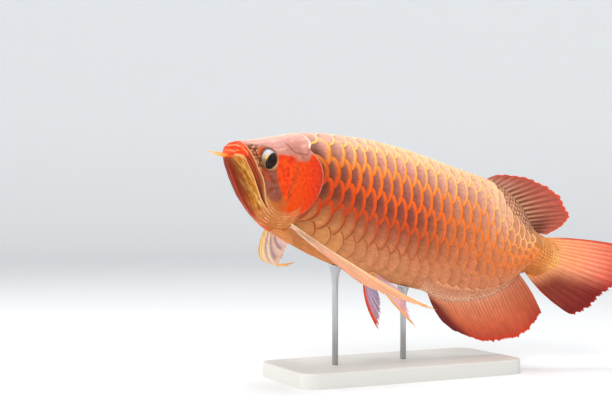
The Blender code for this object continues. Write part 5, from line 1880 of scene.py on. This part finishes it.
@dataclass
class FinSet:
    """All seven fins with their finishes."""

    body: BodyShape

    def _midline(self) -> Iterator[MidlineFin]:
        """Dorsal, anal and tail fin."""
        def anal_bow(u: Array) -> Array:
            """Sideways bulge of the anal fin's rays."""
            return vec(-.006 * (1 - u) + .016 * u ** 6, 0.0, -.012 * (1 - u) ** 2)

        def tail_bow(u: Array) -> Array:
            """The tail fin's rays spread in gentle arcs."""
            return vec(0.0, 0.0, .01 * (1 - 2 * u))

        yield MidlineFin(
            self.body, "fin_dorsal", "dorsal_fin", "unpaired_fins", rays=18, rows=54, per_ray=14, seed=3,
            palette=FinPalettes.dorsal, teeth=(.075, 0.0),
            root=[(0, .757, .012), (.1, .778, .01), (.25, .808, .006), (.4, .838, -.005), (.55, .866, -.02),
                  (.7, .89, -.038), (.8, .903, -.05), (.9, .914, -.06), (1, .926, -.068)],
            margin=[(0, .768, .0235), (.06, .785, .037), (.15, .82, .047), (.27, .868, .056),
                    (.4, .915, .0545), (.53, .952, .04), (.65, .98, .019), (.77, .999, .002),
                    (.88, .99, -.023), (1, .957, -.062)])
        yield MidlineFin(
            self.body, "fin_anal", "anal_fin", "unpaired_fins", rays=34, rows=50, per_ray=10, seed=4,
            palette=FinPalettes.anal, bow=anal_bow, leading=1.4,
            root=[(0, .677, -.288), (.1, .708, -.296), (.25, .755, -.293), (.4, .802, -.282),
                  (.55, .843, -.263), (.7, .878, -.239), (.85, .905, -.21), (1, .9235, -.178)],
            margin=[(0, .752, -.352), (.1, .8, -.364), (.25, .86, -.367), (.4, .905, -.361),
                    (.55, .945, -.347), (.7, .98, -.328), (.85, 1.008, -.297), (1, 1.021, -.247)])
        yield MidlineFin(
            self.body, "fin_tail", "tail_fin", "unpaired_fins", rays=17, rows=70, per_ray=16, seed=6,
            palette=FinPalettes.tail, bow=tail_bow, leading=1.3, fork=.34, teeth=(0.0, .034),
            root=[(0, .955, -.07), (.25, .97, -.09), (.5, .976, -.115), (.75, .965, -.148), (1, .94, -.17)],
            margin=[(0, 1.15, -.013), (.1, 1.172, -.022), (.25, 1.183, -.048), (.4, 1.18, -.08),
                    (.55, 1.168, -.115), (.7, 1.15, -.152), (.8, 1.134, -.183), (.9, 1.112, -.212),
                    (.96, 1.084, -.223), (1, 1.052, -.216)])

    def _paired(self) -> Iterator[SweptFin]:
        """Pectoral and pelvic fins."""
        long_fin = dict(
            slot="paired_fins", rays=9, rows=72, per_ray=16, ray_thick=(.0013, .00035), wave=.0006,
            leading=1.8, notch=.06, fork=.5, fleshy=.16)
        short_fin = dict(
            slot="paired_fins", rays=7, rows=56, per_ray=16, ray_thick=(.001, .0003), wave=.0008,
            leading=1.5, notch=.07, fork=.45, fleshy=.12)
        yield SweptFin(
            self.body, "fin_pectoral_left", "pectoral_fin_left", seed=7, palette=FinPalettes.pectoral,
            clearness=.18, **long_fin,
            root=[(0, .18, -.037, -.1915), (1, .19, -.033, -.2035)],
            control=[(0, .4, -.132, -.318), (.5, .326, -.106, -.289), (1, .25, -.082, -.254)],
            margin=[(0, .59, -.2, -.336), (.12, .56, -.192, -.3375), (.4, .47, -.158, -.333),
                    (.7, .39, -.122, -.318), (1, .318, -.09, -.286)])
        yield SweptFin(
            self.body, "fin_pectoral_right", "pectoral_fin_right", seed=8, palette=FinPalettes.far_pectoral,
            clearness=.06, **long_fin,
            root=[(0, .18, .04, -.2), (1, .208, .033, -.214)],
            control=[(0, .314, .27, -.318), (.5, .28, .15, -.275), (1, .25, .07, -.23)],
            margin=[(0, .462, .298, -.266), (.12, .436, .28, -.28), (.4, .366, .222, -.288),
                    (.7, .33, .15, -.256), (1, .292, .092, -.233)])
        yield SweptFin(
            self.body, "fin_pelvic_left", "pelvic_fin_left", seed=9, palette=FinPalettes.pelvic,
            clearness=.62, **short_fin,
            root=[(0, .484, -.02, -.276), (1, .506, -.018, -.282)],
            control=[(0, .526, -.042, -.338), (1, .535, -.034, -.292)],
            margin=[(0, .629, -.075, -.386), (.3, .61, -.062, -.366), (.6, .59, -.052, -.338),
                    (1, .564, -.045, -.304)])
        yield SweptFin(
            self.body, "fin_pelvic_right", "pelvic_fin_right", seed=10, palette=FinPalettes.far_pelvic,
            clearness=.62, **short_fin,
            root=[(0, .484, .02, -.276), (1, .506, .018, -.282)],
            control=[(0, .5, .038, -.352), (1, .53, .034, -.3)],
            margin=[(0, .596, .062, -.41), (.3, .586, .055, -.384), (.6, .577, .05, -.352),
                    (1, .56, .045, -.322)])

    def build(self) -> None:
        """Makes every fin."""
        midline = FinFinish("unpaired_fin_membrane", glow=.24).build()
        paired = FinFinish("paired_fin_membrane", glow=.22, clear=True).build()
        for fin in self._midline():
            fin.build(midline)
        for fin in self._paired():
            fin.build(paired)


# ---- barbels and stand
@dataclass
class Barbel:
    """One chin barbel: a tapering thread with fine rings."""

    body: BodyShape
    side: Side
    path: Sequence[tuple[float, float, float]]
    radius: float = .0014
    tip: float = .00045
    steps: int = 48
    corners: int = 17

    def build(self, material: Material) -> None:
        """Makes the barbel as a tube round its path."""
        rows = [(i / (len(self.path) - 1), *p) for i, p in enumerate(self.path)]
        t = np.linspace(0, 1, self.steps)
        line = self.body.bend(spatial(t, rows))
        along = unit(np.gradient(line, axis=0))
        a = unit(np.cross(along, (0, 0, 1.0)))
        b = np.cross(along, a)
        radius = (self.radius + (self.tip - self.radius) * t ** .6) * (1 + .05 * np.sin(t * 150))
        radius = radius * np.sqrt(np.clip((1 - t) / .04, 0, 1))
        q = np.linspace(0, 2 * math.pi, self.corners)[:, None]
        tube = line[:, None] + radius[:, None, None] * (a[:, None] * np.cos(q) + b[:, None] * np.sin(q))
        tube = np.concatenate([np.broadcast_to(line[:1, None], (1, self.corners, 3)), tube])
        obj = sheet(f"chin_barbel_{self.side.word}", tube)
        shares = np.concatenate([[0], t])[:, None] + 0 * q.T
        paint(obj.data, "paint", ramp(shares, (0, 0xE25C28), (.25, 0xF6A03A), (1, 0xFCC460)))
        weld(obj)
        finish_piece(obj, material, "barbel", f"barbel_{self.side.word}")


@dataclass
class Stand:
    """Flat base with soft edges and two steel rods with cup pads."""

    corner: float = .018
    bevel: float = .0018

    def build(self) -> None:
        """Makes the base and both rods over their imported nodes."""
        board = PlainFinish("stand_satin_paint", 0xCECDC8, .48, grain=900, depth=.00002).build()
        steel = PlainFinish("stand_brushed_steel", 0xB0B2B4, .3, metal=1.0, variation=.06,
                            stretch=(1, 1, .04), grain=2600).build()
        self._base(board)
        for name in ("stand_rod_front", "stand_rod_rear"):
            self._rod(name, steel)

    def _base(self, material: Material) -> None:
        """A cube primitive scaled to the node's box, its upright corners and top edge rounded."""
        low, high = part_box("stand_base")
        deselect()
        bpy.ops.mesh.primitive_cube_add(size=1.0, location=(low + high) / 2, scale=high - low)
        obj = bpy.context.active_object
        obj.name = obj.data.name = "display_base"
        bpy.ops.object.transform_apply(location=True, rotation=True, scale=True)
        select_edges(obj, lambda a, b: abs(a.x - b.x) < 1e-6 and abs(a.y - b.y) < 1e-6)
        bpy.ops.mesh.bevel(offset=self.corner, segments=14, affect="EDGES")
        select_edges(obj, lambda a, b: min(a.z, b.z) > high.z - 1e-6)
        bpy.ops.mesh.bevel(offset=self.bevel, segments=4, affect="EDGES")
        bpy.ops.object.mode_set(mode="OBJECT")
        bpy.ops.object.shade_smooth_by_angle(angle=math.radians(40))
        finish_piece(obj, material, "stand_base", "stand_base")

    def _rod(self, name: str, material: Material) -> None:
        """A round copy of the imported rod: the same rings, turned finer."""
        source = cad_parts[name].data
        co = np.unique(np.round(points_of(source), 7), axis=0)
        floor = co[:, 2].min()
        sole = co[:, 2] < floor + 1e-5
        foot = co[sole][:, :2].mean(0)
        reach = np.hypot(*(co[:, :2] - foot).T)
        radius, pad = float(reach[sole].max()), float(reach.max())
        top = co[reach > pad * .97]
        slope = np.linalg.lstsq(np.c_[top[:, :2] - foot, np.ones(len(top))], top[:, 2], rcond=None)[0]
        q = np.linspace(0, 2 * math.pi, 41)
        rows = [
            (0.0, floor, 0), (radius * .9, floor, 0), (radius, floor + .0004, 0),
            (radius, slope[2] - .02, 0), (radius * 1.15, slope[2] - .0125, 0),
            (pad * .72, slope[2] - .0065, .5), (pad * .97, slope[2] - .0012, 1), (pad, slope[2] - .0005, 1),
            (pad * .97, slope[2], 1), (pad * .8, slope[2], 1), (0.0, slope[2], 1)]
        ring = np.array([[(foot[0] + r * math.cos(k), foot[1] + r * math.sin(k),
                           z + w * (slope[0] * r * math.cos(k) + slope[1] * r * math.sin(k))) for k in q]
                         for r, z, w in rows])
        obj = sheet(f"{name}_steel", ring)
        weld(obj)
        take(obj)
        bpy.ops.object.shade_smooth_by_angle(angle=math.radians(50))
        finish_piece(obj, material, "stand_rod", name)


# ---- studio
@dataclass
class Studio:
    """Pale seamless bowl, five soft lights and the camera."""

    camera_place: tuple[float, float, float] = (-.6327, -1.0809, .1862)
    camera_yaw: float = math.radians(-26.0)
    focal_pixels: float = 1141.7
    image_width: int = 612
    sensor: float = 36.0
    floor_radius: float = 3.2
    sweep: float = 1.8
    wall_top: float = 3.4

    def build(self) -> None:
        """Makes floor, lights, world and camera."""
        self._floor()
        self._lights()
        data = bpy.data.cameras.new("camera")
        data.sensor_width = self.sensor
        data.lens = self.focal_pixels / self.image_width * self.sensor
        data.clip_start, data.clip_end = .01, 50
        camera = added("camera", data)
        camera.location = self.camera_place
        camera.rotation_euler = (math.pi / 2, 0, self.camera_yaw)
        bpy.context.scene.camera = camera
        bpy.context.scene.view_settings.view_transform = "Standard"

    def _floor(self) -> None:
        """A round floor that sweeps up into a wall far from the object."""
        bow = np.linspace(.1, math.pi / 2, 12)
        radii = np.concatenate([np.linspace(0, self.floor_radius, 12),
                                self.floor_radius + self.sweep * np.sin(bow)])
        heights = np.concatenate([np.zeros(12), self.sweep * (1 - np.cos(bow))])
        q = np.linspace(0, 2 * math.pi, 97)
        profile = [*zip(radii, heights), (self.floor_radius + self.sweep, self.wall_top)]
        rows = [[(r * math.cos(k), r * math.sin(k), z) for k in q] for r, z in profile]
        floor = sheet("studio_floor", np.array(rows))
        weld(floor, 1e-5)
        floor.data.flip_normals()
        floor.data.materials.append(BackdropFinish("studio_pale", 0xEAECEE, .32).build())

    def _lights(self) -> None:
        """Broad lights from in front, from the sides and from above, and a pale world."""
        for name, place, size, power, colour in (
                ("key", (-1.1, -1.8, 1.7), 1.2, 30, (1.0, .985, .95)),
                ("fill", (1.5, -1.8, .8), 1.8, 7, (.98, .98, 1.0)),
                ("front", (-1.0, -1.5, .35), .8, 3.5, (1.0, .98, .95)),
                ("side", (-1.5, .5, .5), .8, 12, (1.0, .97, .93)),
                ("top", (.1, .2, 2.3), 1.3, 35, (1.0, .99, .97))):
            data = bpy.data.lights.new(name, "AREA")
            data.size, data.energy, data.color = size, power, colour
            lamp = added(name, data)
            lamp.location = place
            aim = np.array([0, 0, .17]) - np.array(place)
            flat = math.hypot(aim[0], aim[1])
            lamp.rotation_euler = (math.atan2(flat, -aim[2]), 0, math.atan2(-aim[0], aim[1]))
            lamp.visible_camera = False
        world = bpy.data.worlds.new("world")
        bpy.context.scene.world = world
        world.use_nodes = True
        back = world.node_tree.nodes["Background"]
        back.inputs["Color"].default_value = (.96, .98, 1.0, 1)
        back.inputs["Strength"].default_value = .25


def main() -> None:
    """Builds every piece of the model and the studio."""
    body = BodyShape()
    lattice = Lattice(body)
    Studio().build()
    Skin(body, Head(body), lattice).build(SkinFinish("fish_skin").build())
    scales = ScaleFinish("large_scales").build()
    for side in Side:
        ScaleCoat(body, lattice, side).build(scales)
    SmallScales(body, lattice).build(ScaleFinish("small_scales", streaks=.05, relief=.0).build())
    eye = EyeFinish("eyeball").build()
    for side in Side:
        Eye(body, side).build(eye)
    FinSet(body).build()
    barbel = SkinFinish("barbel_skin", mottle=.06, grain=2600, depth=.00006).build()
    Barbel(body, Side.LEFT, ((.027, -.003, -.0615), (.012, -.0062, -.059), (-.006, -.01, -.058),
                             (-.022, -.0125, -.0578), (-.039, -.014, -.0585))).build(barbel)
    Barbel(body, Side.RIGHT, ((.027, .004, -.0625), (.018, .0062, -.0612), (.008, .0086, -.0602),
                              (-.001, .0105, -.0595), (-.01, .0115, -.059))).build(barbel)
    Stand().build()


if __name__ == "__main__":
    main()
